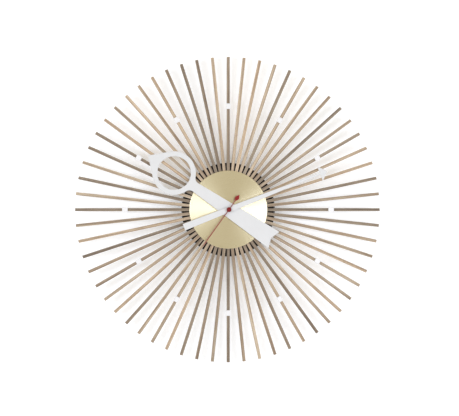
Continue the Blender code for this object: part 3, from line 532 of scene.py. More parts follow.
def coated(name, colour, roughness, grain, relief, cloud, coat, dust, shine):
    """Paint or moulded plastic: faint clouds, a skin with this many grains to a metre, and dust."""
    look = Look(name, coat_weight=coat, coat_roughness=0.15, specular_ior_level=shine)
    place = look.place()
    clouds = look.noise(place, 45.0, 4.0, 0.6)
    skin = look.noise(place, grain, 2.0, 0.6)
    shade = look.ramp(clouds, (0.3, tinted(colour, 1 - cloud)), (0.7, tinted(colour, 1 + cloud)))
    if dust:
        motes = look.ease(look.noise(place, 700.0, 5.0, 0.7), 0.52, 0.75)
        shade = look.mix(look.times(motes, dust), shade, (0.35, 0.33, 0.30))
    roughness = look.between(look.noise(place, 160.0, 4.0), roughness - 0.07, roughness + 0.07)
    return look.made(shade, roughness, look.bump(skin, relief))


def plated(name, colour, roughness, sheen=0.12):
    """Plated metal: rolled in one direction, lightly scratched, with a patchy passivation colour."""
    look = Look(name, metallic=1.0)
    place = look.place()
    rolled = look.noise(place, 1.0, 3.0, 0.6, (140, 3200, 3200))
    scratches = look.ease(look.noise(place, 1.0, 2.0, 0.4, (5200, 5200, 260)), 0.63, 0.72)
    patches = look.noise(place, 130.0, 3.0, 0.6)
    shade = look.ramp(
        patches,
        (0.35, tinted(colour, 0.86)),
        (0.5, colour),
        (0.62, (colour[0] * (1 + sheen), colour[1] * 1.03, colour[2] * (1 - sheen))),
        (0.72, (colour[0] * 0.93, colour[1], colour[2] * (1 + sheen))),
    )
    uneven = look.blend(rolled, scratches, 0.7, 0.5)
    roughness = look.between(uneven, roughness - 0.08, roughness + 0.16)
    return look.made(shade, roughness, look.bump(uneven, 0.008))


def brushed_round(name, colour, roughness, anisotropic, lines, relief):
    """Metal brushed in circles about the Y axis, with fine lines of uneven strength and length."""
    look = Look(name, metallic=1.0, anisotropic=anisotropic, anisotropic_rotation=0.25)
    x, _, z = look.split(look.place())
    radius = look.vector("LENGTH", look.combine(x, z, 0.0))
    across, up, _ = look.split(look.vector("NORMALIZE", look.combine(x, z, 0.0)))
    across, up = (look.times(value, 2.2) for value in (across, up))
    marks = look.noise(look.combine(look.times(radius, lines), across, up), 1.0, 2.0, 0.55)
    bands = look.noise(look.combine(look.times(radius, lines / 14), 0.0, 0.0), 1.0, 3.0, 0.6)
    uneven = look.blend(marks, bands, 0.65, 0.35)
    shade = look.ramp(uneven, (0.35, tinted(colour, 0.93)), (0.65, tinted(colour, 1.05)))
    tangent = look.node("Tangent", direction_type="RADIAL", axis="Y").outputs[0]
    roughness = look.between(uneven, roughness - 0.06, roughness + 0.06)
    return look.made(shade, roughness, look.bump(marks, relief), tangent=tangent)


def wound(name):
    """Enamelled copper wire wound about the X axis, with painted shade darkening the grooves between turns.
    """
    look = Look(name, metallic=1.0, coat_weight=0.6, coat_roughness=0.2)
    ridge = look.maths("SINE", look.times(look.split(look.place())[0], tau / (0.22 * MM)))
    height = look.between(ridge, 0.25, 0.75)
    # Dark in the grooves between turns and lighter on their crests: painted shade.
    shade = look.ramp(height, (0.1, (0.16, 0.05, 0.018)), (0.6, (0.66, 0.27, 0.10)))
    return look.made(shade, 0.34, look.bump(ridge, 0.02))


def circuit(name):
    """Green solder mask over copper tracks, with bare pads."""
    look = Look(name)
    x, _, z = look.split(look.place())
    flat = look.combine(x, z, 0.0)
    cells = look.node("TexBrick", offset=0.35, offset_frequency=2)
    look.feed(cells, vector=flat, scale=1.0, color1=(0.012, 0.13, 0.045), color2=(0.02, 0.17, 0.06))
    look.feed(cells, mortar=(0.045, 0.27, 0.09), mortar_size=0.0003, brick_width=0.0052, row_height=0.0024)
    dots = look.node("TexVoronoi")
    look.feed(dots, vector=flat, scale=320.0, randomness=0.6)
    pad = look.maths("SUBTRACT", 1.0, look.ease(dots.outputs["Distance"], 0.16, 0.2))
    shade = look.mix(pad, cells.outputs["Color"], (0.72, 0.70, 0.66))
    roughness = look.between(look.noise(look.place(), 900.0), 0.3, 0.45)
    return look.made(shade, roughness, look.bump(pad, 0.05), metallic=pad)


def sleeve(name):
    """A glossy dark blue battery sleeve with a pale band and a thin line near its positive end."""
    look = Look(name, coat_weight=0.4, coat_roughness=0.12)
    place = look.place()
    along = look.split(place)[0]
    band = look.times(look.ease(along, 0.0135, 0.0136), look.ease(along, 0.02, 0.0199))
    line = look.times(look.ease(along, 0.0115, 0.0116), look.ease(along, 0.0123, 0.0122))
    blue = look.ramp(look.noise(place, 220.0), (0.3, (0.018, 0.045, 0.13)), (0.7, (0.026, 0.06, 0.165)))
    shade = look.mix(look.maths("MAXIMUM", band, line), blue, (0.52, 0.53, 0.55))
    scuff = look.ease(look.noise(place, 1.0, 3.0, 0.5, (180, 2600, 2600)), 0.6, 0.75)
    shade = look.mix(look.times(scuff, 0.2), shade, (0.5, 0.5, 0.5))
    return look.made(shade, look.between(scuff, 0.26, 0.5), look.bump(look.noise(place, 400.0), 0.02))


BLACK = (0.004, 0.003, 0.003)
BRASS = (0.80, 0.72, 0.496)
IVORY = (0.74, 0.71, 0.62)
MARKER_WHITE = (0.79, 0.77, 0.75)
MOULDED_BLACK = (0.024, 0.024, 0.026)
RED = (0.245, 0.018, 0.016)
# The second hand's red made darker for the domed centre cap: painted shade.
SHADED_CAP_RED = tinted(RED, 0.8)
RUBBER = (0.018, 0.018, 0.019)
SHEET_BLACK = (0.02, 0.0195, 0.019)
WHITE = (0.662, 0.652, 0.63)

# The painted and moulded slots: colour of faces, colour of worn edges, roughness, grain, relief, cloud, coat,
# dust and shine, as coated() takes them.
COATS = {
    "black_hub": (BLACK, tinted(BLACK, 2.2), 0.55, 2600.0, 0.012, 0.15, 0.0, 0.004, 0.1),
    "black_metal": (SHEET_BLACK, (0.05, 0.048, 0.046), 0.6, 1900.0, 0.05, 0.15, 0.0, 0.06, 0.5),
    "hand_white": (WHITE, tinted(WHITE, 0.97), 0.42, 1300.0, 0.006, 0.012, 0.1, 0.0, 0.5),
    "marker_white": (MARKER_WHITE, MARKER_WHITE, 0.3, 1100.0, 0.006, 0.01, 0.3, 0.0, 0.5),
    "second_red": (RED, tinted(RED, 1.15), 0.42, 2200.0, 0.006, 0.06, 0.0, 0.0, 0.15),
    # The cap's darker red is painted shade on its dome.
    "cap_red": (SHADED_CAP_RED, SHADED_CAP_RED, 0.3, 2000.0, 0.004, 0.05, 0.0, 0.0, 0.15),
    "movement_black": (MOULDED_BLACK, (0.045, 0.045, 0.047), 0.5, 2400.0, 0.03, 0.1, 0.0, 0.04, 0.5),
    "gear_plastic": (IVORY, IVORY, 0.4, 1500.0, 0.008, 0.04, 0.1, 0.0, 0.5),
    "gasket_rubber": (RUBBER, RUBBER, 0.85, 1700.0, 0.04, 0.2, 0.0, 0.12, 0.5),
}
COATS["knob_plastic"] = COATS["gear_plastic"]


def made_finish(slot, worn):
    """The face material of a record slot, or with worn, the one for its rounded edges."""
    name = slot + ("_edge" if worn else "_face")
    if slot in COATS:
        face, edge, *rest = COATS[slot]
        return coated(name, edge if worn else face, *rest)
    if slot == "dial_brass":
        return brushed_round(name, tinted(BRASS, 1.08 if worn else 1.0), 0.255, 0.685, 9000.0, 0.004)
    if slot == "turned_brass":
        return brushed_round(name, (0.86, 0.68, 0.36), 0.2 if worn else 0.26, 0.4, 14000.0, 0.006)
    if slot == "zinc_steel":
        return plated(name, (0.74, 0.75, 0.76) if worn else (0.62, 0.63, 0.64), 0.3)
    if slot == "magnet_steel":
        return plated(name, (0.36, 0.36, 0.38), 0.4, 0.03)
    if slot == "ray_wood":
        return wood(name, worn)
    return {"copper_winding": wound, "board_green": circuit, "battery_sleeve": sleeve}[slot](name)


@functools.cache
def finish(slot):
    """The face and edge materials of a record slot, made once."""
    return [made_finish(slot, worn) for worn in (False, True)]


# ---- rays and hour markers


def ray_mesh():
    """A straight batten whose foot narrows to a wedge between its neighbours, and whose edges are eased."""
    half = RAY_WIDTH / 2
    lean = radians(180 / RAY_COUNT)
    glue = 0.03
    shoulder = (half + glue) / sin(lean)
    foot = RAY_INNER_RADIUS * tan(lean) - glue
    outline = [
        (-foot, RAY_INNER_RADIUS), (-half, shoulder), (-half, CLOCK_RADIUS),
        (half, CLOCK_RADIUS), (half, shoulder), (foot, RAY_INNER_RADIUS),
    ]
    return plate("ray_wood", rounded(outline, 0.3, 2), RAY_BACK, RAY_FRONT, 0.35)


def add_rays():
    dice = random.Random(60)
    for index in range(RAY_COUNT):
        angle = index * 360 / RAY_COUNT
        hour = int((angle + 12) / 30) % 12 or 12
        ray = stand_in(ray_mesh(), f"ray_fan_{hour:02d}", name=f"ray_{index:02d}", clockwise=angle)
        ray.color = (dice.random(), dice.random(), dice.random(), 1.0)


def add_hour_markers():
    """Painted blocks with eased edges, each with a groove behind that straddles its ray."""
    _, _, low, high = sides("hour_marker_12")
    back, front = depths("hour_marker_12")
    half = MARKER_WIDTH / 2
    block = rounded(box_outline(-half, half, low, high), 0.4, 3)
    groove = box_outline(-MARKER_GROOVE / 2, MARKER_GROOVE / 2, low - 1, high + 1)
    for hour in range(1, 13):
        marker = plate("marker_white", block, back, front, 0.35)
        marker = carved(marker, tool(groove, back - 1, RAY_FRONT + FIT))
        stand_in(marker, f"hour_marker_{hour:02d}", clockwise=30 * hour)


# ---- hub, dial and their fastening

SCREW_PLACES = [step_from(CENTRE, clockwise, SCREW_CIRCLE) for clockwise in (60, 180, 300)]


def comb_wedges():
    """The wedges between the rays, with eased edges, rooted in the hub's plate."""
    lean = radians(180 / RAY_COUNT)
    clear = (RAY_WIDTH / 2 + FIT) / cos(lean)
    inner = COMB_INNER_RADIUS * tan(lean) - clear
    outer = HUB_RADIUS * tan(lean) - clear
    root = 0.8
    wedge = [(-inner, COMB_INNER_RADIUS), (-outer, HUB_RADIUS)]
    wedge += [(outer, HUB_RADIUS), (inner, COMB_INNER_RADIUS)]
    build = bmesh.new()
    for index in range(RAY_COUNT):
        outline = turned_about_centre(rounded(wedge, 0.2, 2), (index + 0.5) * 360 / RAY_COUNT)
        add_plate(build, outline, HUB_BACK + HUB_PLATE - root, RAY_FRONT, 0.08, steps=2)
    return mesh_of(build, "black_hub")


def add_hub():
    """The hub's plate and boss with its comb, bored for the bush and the housing's screws."""
    front = HUB_BACK + HUB_PLATE
    profile = [
        (BUSH_HOLE, HUB_BACK), (HUB_PLATE_RADIUS, HUB_BACK), (HUB_PLATE_RADIUS, front),
        (HUB_BOSS_RADIUS, front), (HUB_BOSS_RADIUS, RAY_FRONT), (BUSH_HOLE, RAY_FRONT),
    ]
    hub = joined(turned("black_hub", rounded(profile, 0.3, 3)), comb_wedges())
    holes = [drill(place, SCREW_HOLE, HUB_BACK - 1, front + 1) for place in SCREW_PLACES]
    stand_in(carved(hub, *holes), "ray_hub", smooth_below=40)


def add_ring(node, edge, steps, segments):
    """A flat ring round the bush: the dial disc, or the washer in front of it."""
    radius, back, front = round_size(node)
    profile = [(BUSH_HOLE, back), (radius, back), (radius, front), (BUSH_HOLE, front)]
    stand_in(turned(SLOT_OF[node], rounded(profile, edge, steps), segments), node)


def add_nut():
    """A hexagon nut, its corners chamfered in a lathe on both faces and its bore chamfered in front."""
    back, front = depths("hex_nut")
    half_flat = NUT_FLATS / 2
    face = half_flat - 0.1
    bore = BUSH_RADIUS + FIT / 2
    chamfer = 0.2
    build = bmesh.new()
    columns = []
    for turn in range(0, 360, 4):
        side = half_flat / cos(radians(turn % 60 - 30))
        drop = (side - face) / 2
        profile = [
            (bore, back), (face, back), (side, back + drop), (side, front - drop),
            (face, front), (bore + chamfer, front), (bore, front - chamfer),
        ]
        places = [(step_from(CENTRE, turn, radius), depth) for radius, depth in profile]
        columns.append([build.verts.new(point(x, depth, z)) for (x, z), depth in places])
    for column, after in zip(columns, columns[1:] + columns[:1]):
        for index in range(len(column)):
            build.faces.new((column[index], column[index - 1], after[index - 1], after[index]))
    stand_in(mesh_of(build, "turned_brass"), "hex_nut", smooth_below=25)


def cut_thread(mesh, radius, pitch, groove, low, high):
    """Moves the points of a plain shank between two depths towards its axis, as a V thread."""
    for vertex in mesh.vertices:
        depth = -vertex.co.y / MM
        reach = hypot(vertex.co.x, vertex.co.z) / MM
        if reach > radius - 0.01 and low < depth < high:
            phase = (depth / pitch + atan2(vertex.co.x, vertex.co.z) / tau) % 1.0
            shrink = 1 - groove * abs(2 * phase - 1) / radius
            vertex.co.x *= shrink
            vertex.co.z *= shrink


def add_bush():
    """The threaded bush that clamps hub and dial to the movement."""
    back, front = depths("threaded_bush")
    flange, chamfer = 5.2, 0.3
    flange_back = depths("movement_case")[1] + FIT
    flange_front = flange_back + 0.5
    length = front - chamfer - flange_front
    rings = round((front - flange_front) / BUSH_PITCH * 6)
    profile = [
        (BUSH_BORE, back), (BUSH_RADIUS, back), (BUSH_RADIUS, flange_back),
        (flange, flange_back), (flange, flange_front),
    ]
    profile += [(BUSH_RADIUS, flange_front + length * index / rings) for index in range(rings + 1)]
    profile += [(BUSH_RADIUS - chamfer, front), (BUSH_BORE, front)]
    bush = turned("turned_brass", profile, 48)
    cut_thread(bush, BUSH_RADIUS, BUSH_PITCH, BUSH_GROOVE, flange_front, front - 0.2)
    stand_in(bush, "threaded_bush")


# ---- hands


def hour_half_width(along):
    return (HOUR_PIVOT_WIDTH - HOUR_TAPER * along) / 2


def hour_outline():
    """Tapered bar with a notched tail, a round head and a pointed nose tangent to it."""
    centre = (0.0, HOUR_RING_CENTRE)
    touch = degrees(acos(HOUR_RING_RADIUS / (HOUR_NOSE - HOUR_RING_CENTRE)))
    reach = HOUR_RING_RADIUS + HOUR_FILLET
    neck = hour_half_width(HOUR_RING_CENTRE - reach)
    drop = sqrt(reach**2 - (neck + HOUR_FILLET) ** 2)
    fillet_centre = (neck + HOUR_FILLET, HOUR_RING_CENTRE - drop)
    meet = 180 - degrees(atan2(neck + HOUR_FILLET, drop))
    half = [(0.0, HOUR_NOSE)]
    half += arc(centre, HOUR_RING_RADIUS, touch, meet, 40)
    half += arc(fillet_centre, HOUR_FILLET, meet + 180, 270, 14)[1:]
    half += [(hour_half_width(HOUR_TAIL_TIP), HOUR_TAIL_TIP), (0.0, HOUR_TAIL_NOTCH)]
    return mirrored(half)


def add_hour_hand():
    holes = [circle((0.0, HOUR_RING_CENTRE), HOUR_RING_HOLE, 128)]
    holes.append(circle(CENTRE, HOUR_PIPE_RADIUS + FIT, 48))
    hand = plate("hand_white", hour_outline(), *depths("hour_hand"), HAND_EDGE, holes)
    stand_in(hand, "hour_hand", clockwise=HOUR_ANGLE)


def add_minute_hand():
    half = [(0.0, MINUTE_TIP), (MINUTE_HEAD_HALF, MINUTE_HEAD_BASE)]
    for along in (MINUTE_HEAD_BASE, MINUTE_TAIL):
        half.append(((MINUTE_PIVOT_WIDTH - MINUTE_TAPER * along) / 2, along))
    hole = circle(CENTRE, MINUTE_PIPE_RADIUS + FIT, 48)
    outline = rounded(mirrored(half), 0.25, 3)
    hand = plate("hand_white", outline, *depths("minute_hand"), HAND_EDGE, [hole])
    stand_in(hand, "minute_hand", clockwise=MINUTE_ANGLE)


def add_second_hand():
    """A thin blade with a kite-shaped counterweight, riveted to an eye and a collet."""
    back, front = depths("second_hand")
    blade_back = front - SECOND_SHEET
    half = SECOND_WIDTH / 2
    start, widest, end = SECOND_KITE
    right = [
        (0.0, SECOND_TIP), (half * 0.6, SECOND_TIP - 1.0), (half, SECOND_TIP - 8.0), (half, start),
        (SECOND_KITE_HALF, widest), (0.0, end),
    ]
    hand = plate("second_red", rounded(mirrored(right), 0.3, 3), blade_back, front, 0.12, steps=2)
    eye = rod("second_red", SECOND_EYE_RADIUS, blade_back + 0.1, front - 0.1, 0.15, 48)
    collet = rod("second_red", SECOND_BORE + 0.6, back, blade_back + 0.3, 0.15, 32)
    hand = joined(joined(hand, eye), collet)
    hand = carved(hand, drill(CENTRE, SECOND_BORE, back - 1, front + 1))
    stand_in(hand, "second_hand", clockwise=SECOND_ANGLE)


def add_centre_cap():
    """A domed cap, slightly fuller than round, with a low rim and a flat back."""
    radius, back, front = round_size("centre_cap")
    edge, rim = 0.25, 0.8
    profile = [(0.0, back), (radius - edge, back), (radius, back + edge)]
    for sine, cosine in quarter(20)[:-1]:
        profile.append((radius * cosine**0.9, back + rim + (front - back - rim) * sine))
    profile.append((0.0, front))
    stand_in(turned("cap_red", profile, 64, closed=False), "centre_cap", smooth_below=60)


# ---- rear housing and hanger


def add_housing():
    """The spun can: rolled rear lip, straight wall and front web."""
    radius, back, front = round_size("rear_housing")
    inside = radius - 1.8
    web_back = front - HOUSING_SHEET
    lip_front = back + HOUSING_SHEET
    web_hole, lip = 43.0, 54.0
    profile = [
        (radius, back), (radius, front), (web_hole, front), (web_hole, web_back),
        (inside, web_back), (inside, lip_front), (lip, lip_front), (lip, back),
    ]
    can = turned("black_metal", rounded(profile, 0.8, 4))
    holes = [drill(place, SCREW_HOLE, web_back - 1, front + 1) for place in SCREW_PLACES]
    for node in HANGER_SCREWS:
        holes.append(drill(middle(node), SCREW_HOLE, depths(node)[0] - FIT, lip_front + 1))
    stand_in(carved(can, *holes), "rear_housing")


def screw_mesh(under_head, tip):
    """A slotted pan-head screw along Y, with a rolled thread."""
    away = copysign(1.0, under_head - tip)
    head, height, rim, crown = 3.0, 2.1, 1.1, 0.9
    top = under_head + away * height
    start = tip + away * 0.5
    length = abs(under_head - start)
    rings = max(2, round(length / SCREW_PITCH * 4))
    profile = [(0, tip), (SCREW_RADIUS - 0.6, tip)]
    profile += [(SCREW_RADIUS, start + away * length * index / rings) for index in range(rings + 1)]
    profile += [(head - 0.1, under_head), (head, under_head + away * 0.1)]
    for sine, cosine in quarter(6)[1:]:
        profile.append((head - crown * (1 - cosine), under_head + away * (rim + (height - rim) * sine)))
    profile.append((0, top))
    screw = turned("zinc_steel", profile, 32, closed=False)
    low, high = sorted((tip + away * 0.4, under_head - away * 0.1))
    cut_thread(screw, SCREW_RADIUS, SCREW_PITCH, SCREW_GROOVE, low, high)
    low, high = sorted((top - away * SCREW_SLOT_DEPTH, top + away))
    slot = box_outline(-head - 1, head + 1, -SCREW_SLOT_HALF, SCREW_SLOT_HALF)
    return carved(screw, tool(slot, low, high))


def add_screws():
    """Three screws from the housing's web into the hub, and two that hold the hanger to its lip."""
    under_head = depths("rear_housing")[1] - HOUSING_SHEET - FIT
    tip = depths("housing_screw_1")[1]
    for index, place in enumerate(SCREW_PLACES, start=1):
        stand_in(screw_mesh(under_head, tip), f"housing_screw_{index}", place=place)
    under_head = depths("hanger_plate")[1] + FIT
    tip = depths("hanger_screw_left")[0]
    for node in HANGER_SCREWS:
        stand_in(screw_mesh(under_head, tip), node, place=middle(node))


def add_hanger():
    """A stamped strap with a keyhole for the wall's nail."""
    eye, eye_radius = (0, 43.0), 4.2
    slot_end, slot_half = (0, 49.0), 2.2
    neck = 32  # half of the angle at which the round eye opens into the slot
    keyhole = arc(eye, eye_radius, neck, 360 - neck, 40) + arc(slot_end, slot_half, -90, 90, 20)
    holes = [keyhole] + [circle(middle(node), SCREW_RADIUS + FIT / 2, 32) for node in HANGER_SCREWS]
    outline = rounded(box_outline(*sides("hanger_plate")), 3.0, 10)
    stand_in(plate("zinc_steel", outline, *depths("hanger_plate"), 0.2, holes), "hanger_plate")


# ---- movement, seen from behind


def bearings(nodes, back, front):
    """Rods for cutting the holes that the arbors of these nodes turn in."""
    return [drill(middle(node), 0.9, back, front, 0.05, 20) for node in nodes]


def add_movement_case():
    """The moulded tray that holds the train and the battery, with bearings for the arbors that end in it."""
    back, front = depths("movement_case")
    left, right, low, high = sides("movement_case")
    wall = 1.1
    floor = front - 1.5
    train_bottom, bay_top = -11.6, -12.6
    stud_place, stud_radius, stud_back = (9.0, 0.0), 0.55, 11.5
    outline = rounded(box_outline(left, right, low, high), CASE_CORNER, 8)
    train_space = rounded(box_outline(left + wall, right - wall, train_bottom, high - wall), 3.9, 6)
    battery_bay = rounded(box_outline(left + wall, right - wall, low + wall, bay_top), 2.5, 6)
    cuts = [tool(space, back - 1, floor) for space in (train_space, battery_bay)]
    cuts.append(drill(CENTRE, BUSH_HOLE, floor - 1, front + 1))
    cuts += bearings(("third_wheel", "step_wheel", "rotor", "setting_knob"), floor - 1, floor + 0.8)
    case = carved(plate("movement_black", outline, back, front, 0.5), *cuts)
    stud = moved(rod("movement_black", stud_radius, stud_back, floor + 0.5), *stud_place)
    stand_in(joined(case, stud), "movement_case")


def mark_outlines():
    """Plus and minus marks beside the battery's ends, as generic polarity signs."""
    arm, thin = 1.5, 0.3
    plus_x, minus_x, height = 22.5, -22.5, -9.8
    bars = [(plus_x, arm, thin), (plus_x, thin, arm), (minus_x, arm, thin)]
    return [box_outline(x - a, x + a, height - b, height + b) for x, a, b in bars]


def turning_arrows(centre):
    """Two arrowheaded arcs round the setting knob."""
    radius, thin, barb = 6.9, 0.22, 0.9
    shapes = []
    for start in (20, 200):
        end = start + 90
        band = arc(centre, radius + thin, start, end, 16) + arc(centre, radius - thin, end, start, 16)
        head = [step_from(centre, end - 1, radius + barb), step_from(centre, end - 1, radius - barb)]
        shapes += [band, [step_from(centre, start + 110, radius), *head]]
    return shapes


def add_movement_cover():
    """The rear plate, with the battery's opening, the knob's pocket and shallow engraved marks."""
    front = depths("movement_case")[0] - FIT
    cup_front = depths("movement_cover")[1]
    pocket_floor = cup_front - 1.2
    cup_radius, pocket_radius, arbor_hole = 6.0, 5.2, 1.8
    outline = rounded(box_outline(*sides("movement_cover")), CASE_CORNER, 8)
    opening = rounded(box_outline(-26.4, 26.9, -28.0, -12.7), 3.0, 6)
    cover = plate("movement_black", outline, 0.0, front, 0.35, [opening])
    knob = middle("setting_knob")
    cover = joined(cover, moved(rod("movement_black", cup_radius, front / 2, cup_front, 0.3, 64), *knob))
    cuts = [drill(knob, pocket_radius, -1.0, pocket_floor, 0.4, 64)]
    cuts.append(drill(knob, arbor_hole, 0.0, pocket_floor + 2))
    arbors = ("third_wheel", "step_wheel", "rotor", "second_wheel")
    cuts += bearings(arbors, depths("rotor")[0] - FIT, front + 1)
    cuts += [tool(shape, -1.0, 0.3) for shape in mark_outlines() + turning_arrows(knob)]
    stand_in(carved(cover, *cuts), "movement_cover")


def add_knob():
    """The setting knob, its rim ribbed for a fingertip, with a dished back and its pinion on the arbor."""
    back, front = depths("setting_knob")
    ribs, rib_height = 28, 0.22
    disc_radius, disc_front = 4.3, 3.6
    dish = 3.2
    arbor, pivot, shoulder = 1.5, 0.6, 13.3
    turns = [360 * index / (ribs * 8) for index in range(ribs * 8)]
    radii = [disc_radius + rib_height * cos(radians(turn * ribs)) for turn in turns]
    outline = [step_from(CENTRE, turn, radius) for turn, radius in zip(turns, radii)]
    knob = plate("knob_plastic", outline, back, disc_front, 0.2)
    hollow = [(0, -1), (dish, -1), (dish, back + 0.1), (0.0, back + 0.9)]
    knob = carved(knob, turned(None, hollow, 48, closed=False))
    shaft = [(0, disc_front - 0.5), (arbor, disc_front - 0.5), (arbor, shoulder)]
    shaft += [(pivot, shoulder), (pivot, front), (0, front)]
    knob = joined(knob, turned("knob_plastic", shaft, 32, closed=False))
    knob = joined(knob, plate("knob_plastic", gear_outline(10, 0.45, 270.0), 11.6, 13.0, 0.06, steps=1))
    grip = plate("knob_plastic", box_outline(-2.9, 2.9, -0.45, 0.45), back, back + 1.0, 0.12)
    stand_in(joined(knob, grip), "setting_knob", place=middle("setting_knob"))


def gear_outline(teeth, module, tooth_at):
    """A gear with straight-flanked teeth, one of them centred on a clockwise angle."""
    pitch_radius = teeth * module / 2
    foot = pitch_radius - 1.05 * module
    tip = pitch_radius + 0.75 * module
    outline = []
    for index in range(teeth):
        angle = tooth_at + index * 360 / teeth
        for radius, share in ((foot, -0.25), (tip, -0.11), (tip, 0.11), (foot, 0.25)):
            outline.append(step_from(CENTRE, angle + share * 360 / teeth, radius))
    return outline


def lying(node):
    """Left end, right end, height and depth of the axis of a node that lies along X."""
    left, right, low, high = sides(node)
    back, front = depths(node)
    return left, right, (low + high) / 2, (back + front) / 2


def laid(mesh, node):
    """A mesh made along Y, laid on that axis from the node's left end."""
    left, _, height, depth = lying(node)
    return moved(mesh, left, height, depth, Matrix.Rotation(radians(90), 4, "Z"))


def add_battery():
    """A sleeved cell with crimped ends, a positive nub and a flat negative end."""
    left, right, _, _ = lying("battery")
    radius, mouth, edge = 7.25, 5.6, 0.35
    length = right - left
    body = length - 1.3
    profile = [
        (mouth, 0.0), (radius - edge, 0.0), (radius, edge), (radius, body - edge), (radius - edge, body),
        (mouth, body), (mouth, body - 0.5), (5.5, body - 0.6), (5.5, 0.6), (mouth, 0.5),
    ]
    stand_in(laid(turned("battery_sleeve", profile, 96), "battery"), "battery")
    positive = [
        (0, body - 0.9), (5.4, body - 0.9), (5.4, body - 0.3), (3.2, body - 0.15), (2.75, body),
        (2.75, length - 0.3), (2.4, length), (0, length),
    ]
    negative = [(0, 0.15), (3.9, 0.15), (4.2, 0.35), (5.4, 0.35), (5.4, 0.95), (0, 0.95)]
    for name, profile in (("battery_positive_end", positive), ("battery_negative_end", negative)):
        end = laid(turned("zinc_steel", profile, 64, closed=False), "battery")
        stand_in(end, "battery", name=name)


def add_positive_contact():
    """A sprung plate that stands against the cell's positive end."""
    node = "positive_contact"
    outline = rounded(box_outline(*sides(node)), 0.08, 2)
    stand_in(plate("zinc_steel", outline, *depths(node), 0.06, steps=2), node)


def add_negative_spring():
    """A cone of spring wire, wide against the case and narrow against the battery."""
    start_of_cell, _, height, depth = lying("battery")
    wire, turns = 0.28, 3.5
    wide, narrow = 4.6, 2.4
    start = sides("negative_spring")[0] + wire
    end = start_of_cell - 0.25 - wire + 0.05
    curve = bpy.data.curves.new("negative_spring", "CURVE")
    curve.dimensions = "3D"
    curve.bevel_depth = wire * MM
    curve.bevel_resolution = 3
    curve.use_fill_caps = True
    count = round(turns * 40)
    spline = curve.splines.new("POLY")
    spline.points.add(count)
    for index, knot in enumerate(spline.points):
        share = index / count
        angle = share * turns * tau
        radius = wide - (wide - narrow) * share
        x = start + (end - start) * share
        knot.co = (*point(x, depth - radius * cos(angle), height + radius * sin(angle)), 1.0)
    source = in_scene("wire", curve)
    build = bmesh.new()
    build.from_mesh(evaluated(source))
    bpy.data.objects.remove(source)
    stand_in(mesh_of(build, "zinc_steel"), "negative_spring")


def add_coil():
    """Fine wire wound on a bobbin between the stator's arms."""
    left, right, low, high = sides("coil")
    length = right - left
    flange = (high - low) / 2
    rim, core, pitch = 0.8, 2.1, 0.22
    turns = round((length - 1.8) / pitch)
    profile = [(0, 0), (flange, 0), (flange, rim), (core, rim)]
    for index in range(turns):
        for share, swell in ((0.0, 0.0), (0.25, 0.08), (0.5, 0.1), (0.75, 0.08)):
            profile.append((core + swell, 0.9 + (index + share) * pitch))
    profile += [(core, length - rim), (flange, length - rim)]
    profile += [(flange, length), (0, length)]
    coil = turned("copper_winding", profile, 32, closed=False)
    stand_in(laid(coil, "coil"), "coil", smooth_below=50)


def dress_cad_nodes():
    """The CAD nodes that stay get their slot's materials, smooth round faces and fine bevels."""
    for name, node in frame["nodes"].items():
        if node.hide_render:
            continue
        node.data.materials.clear()
        for material in finish(SLOT_OF[name]):
            node.data.materials.append(material)
        node.modifiers.new("joined_corners", "WELD").merge_threshold = 0.001 * MM
        bevel = node.modifiers.new("eased_edges", "BEVEL")
        bevel.width = 0.06 * MM
        bevel.segments = 2
        bevel.angle_limit = radians(40)
        bevel.material = 1
        node.modifiers.new("even_shading", "WEIGHTED_NORMAL")


# ---- wall, floor, lights and camera

# Lengths are in metres from here on.
CAMERA_AZIMUTH = -4.5
CAMERA_DISTANCE = 3.0
CAMERA_AIM = (0.0022, 0.0, 0.0025)  # from the middle of the clock
FRAME_WIDTH = 0.7073  # of the view at the clock
SENSOR_WIDTH = 36.0  # Blender measures lens and sensor in millimetres
FLOOR_DROP = 0.9
STAGE_HALF = 3.0
WALL_GAP = 0.0005
WALL_GLOW = 0.22
PANEL_POWER = 9.4
PANEL_LEAN = 0.7  # what the left panel has more, and the right panel less
REAR_POWER = 9.0
COOL = (0.90, 1.0, 1.22)
NEUTRAL = (1.0, 1.0, 1.0)
WORLD = (0.612, 0.56, 0.457, 1.0)


def stage_plane(name, corners, material):
    mesh = bpy.data.meshes.new(name)
    mesh.from_pydata(corners, [], [(0, 1, 2, 3)])
    mesh.materials.append(material)
    in_scene(name, mesh)


def stage_paint(look, roughness, scale, detail, dark, light, grain, relief):
    """Faintly uneven paint with a fine grain."""
    place = look.place()
    tint = look.ramp(look.noise(place, scale, detail), (0.3, dark), (0.7, light))
    return look.made(tint, roughness, look.bump(look.noise(place, grain), relief))


def wall_material():
    """Bright white paint. It can't be seen from behind and casts no shadow, so the clock's back shows."""
    look = Look("wall_paint", emission_color=(0.95, 0.99, 1.0), emission_strength=WALL_GLOW)
    material = stage_paint(look, 0.9, 12.0, 4.0, (0.88, 0.88, 0.875), (0.9, 0.9, 0.895), 900.0, 0.02)
    behind = look.node("NewGeometry").outputs["Backfacing"]
    shadow = look.node("LightPath").outputs["Is Shadow Ray"]
    hidden = look.maths("MAXIMUM", behind, shadow)
    clear = look.node("BsdfTransparent").outputs[0]
    shown = look.through("MixShader", hidden, look.shader.outputs[0], clear)[0]
    look.join(shown, look.tree.nodes["Material Output"].inputs["Surface"])
    return material


def floor_material():
    look = Look("pale_floor")
    return stage_paint(look, 0.7, 6.0, 5.0, (0.74, 0.735, 0.725), (0.79, 0.785, 0.775), 700.0, 0.05)


def add_stage():
    """A white wall just behind the clock, and a pale floor well below it."""
    half = STAGE_HALF
    low = CAD_BOX[0].z - FLOOR_DROP
    wall = [(-half, WALL_GAP, low), (half, WALL_GAP, low), (half, WALL_GAP, half), (-half, WALL_GAP, half)]
    floor = [(-half, -half, low), (half, -half, low), (half, half, low), (-half, half, low)]
    stage_plane("wall", wall, wall_material())
    stage_plane("floor", floor, floor_material())


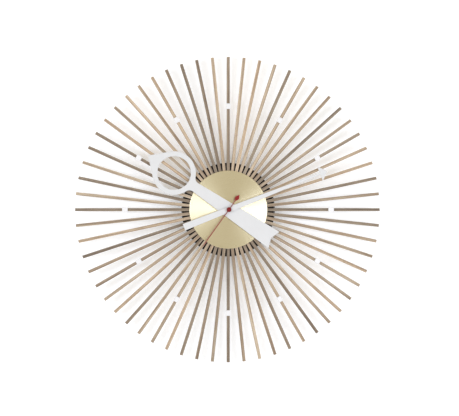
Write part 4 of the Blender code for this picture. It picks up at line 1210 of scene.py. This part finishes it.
def aimed(obj, target):
    obj.rotation_euler = (target - obj.location).to_track_quat("-Z", "Y").to_euler()


def add_light(name, place, size, power, colour):
    """A soft panel aimed at the middle of the clock."""
    data = bpy.data.lights.new(name, "AREA")
    data.shape = "RECTANGLE"
    data.size, data.size_y = size
    data.energy = power
    data.color = colour
    light = in_scene(name, data)
    light.location = place
    light.visible_camera = False
    aimed(light, Vector((0, 0, 0)))


def add_lights():
    """Two cool panels in front and two white ones behind, in a warm and even world."""
    for label, side in (("left", -1), ("right", 1)):
        front = (side * 0.8, -1.386, side * -0.08)
        rear = (side * 1.1, 1.3, 0.5)
        add_light(f"{label}_panel", front, (0.9, 0.45), PANEL_POWER - PANEL_LEAN * side, COOL)
        add_light(f"{label}_rear_panel", rear, (1.2, 1.2), REAR_POWER, NEUTRAL)
    world = bpy.data.worlds.new("studio")
    world.use_nodes = True
    world.node_tree.nodes["Background"].inputs["Color"].default_value = WORLD
    bpy.context.scene.world = world


def add_camera():
    """A long lens a little to the left of the clock's axis."""
    low, high = CAD_BOX
    target = (low + high) / 2 + Vector(CAMERA_AIM)
    turn = radians(CAMERA_AZIMUTH)
    data = bpy.data.cameras.new("camera")
    data.sensor_width = SENSOR_WIDTH
    data.lens = SENSOR_WIDTH * CAMERA_DISTANCE / FRAME_WIDTH
    camera = in_scene("camera", data)
    camera.location = target + Vector((sin(turn), -cos(turn), 0.0)) * CAMERA_DISTANCE
    aimed(camera, target)
    bpy.context.scene.camera = camera
    bpy.context.scene.view_settings.view_transform = "Standard"


# ---- assembly


add_rays()
add_hour_markers()
add_hub()
add_ring("dial_disc", edge=0.35, steps=4, segments=256)
add_ring("washer", edge=0.15, steps=3, segments=96)
add_nut()
add_bush()
add_hour_hand()
add_minute_hand()
add_second_hand()
add_centre_cap()
add_housing()
add_screws()
add_hanger()
add_movement_case()
add_movement_cover()
add_knob()
add_battery()
add_positive_contact()
add_negative_spring()
add_coil()
dress_cad_nodes()
add_stage()
add_lights()
add_camera()
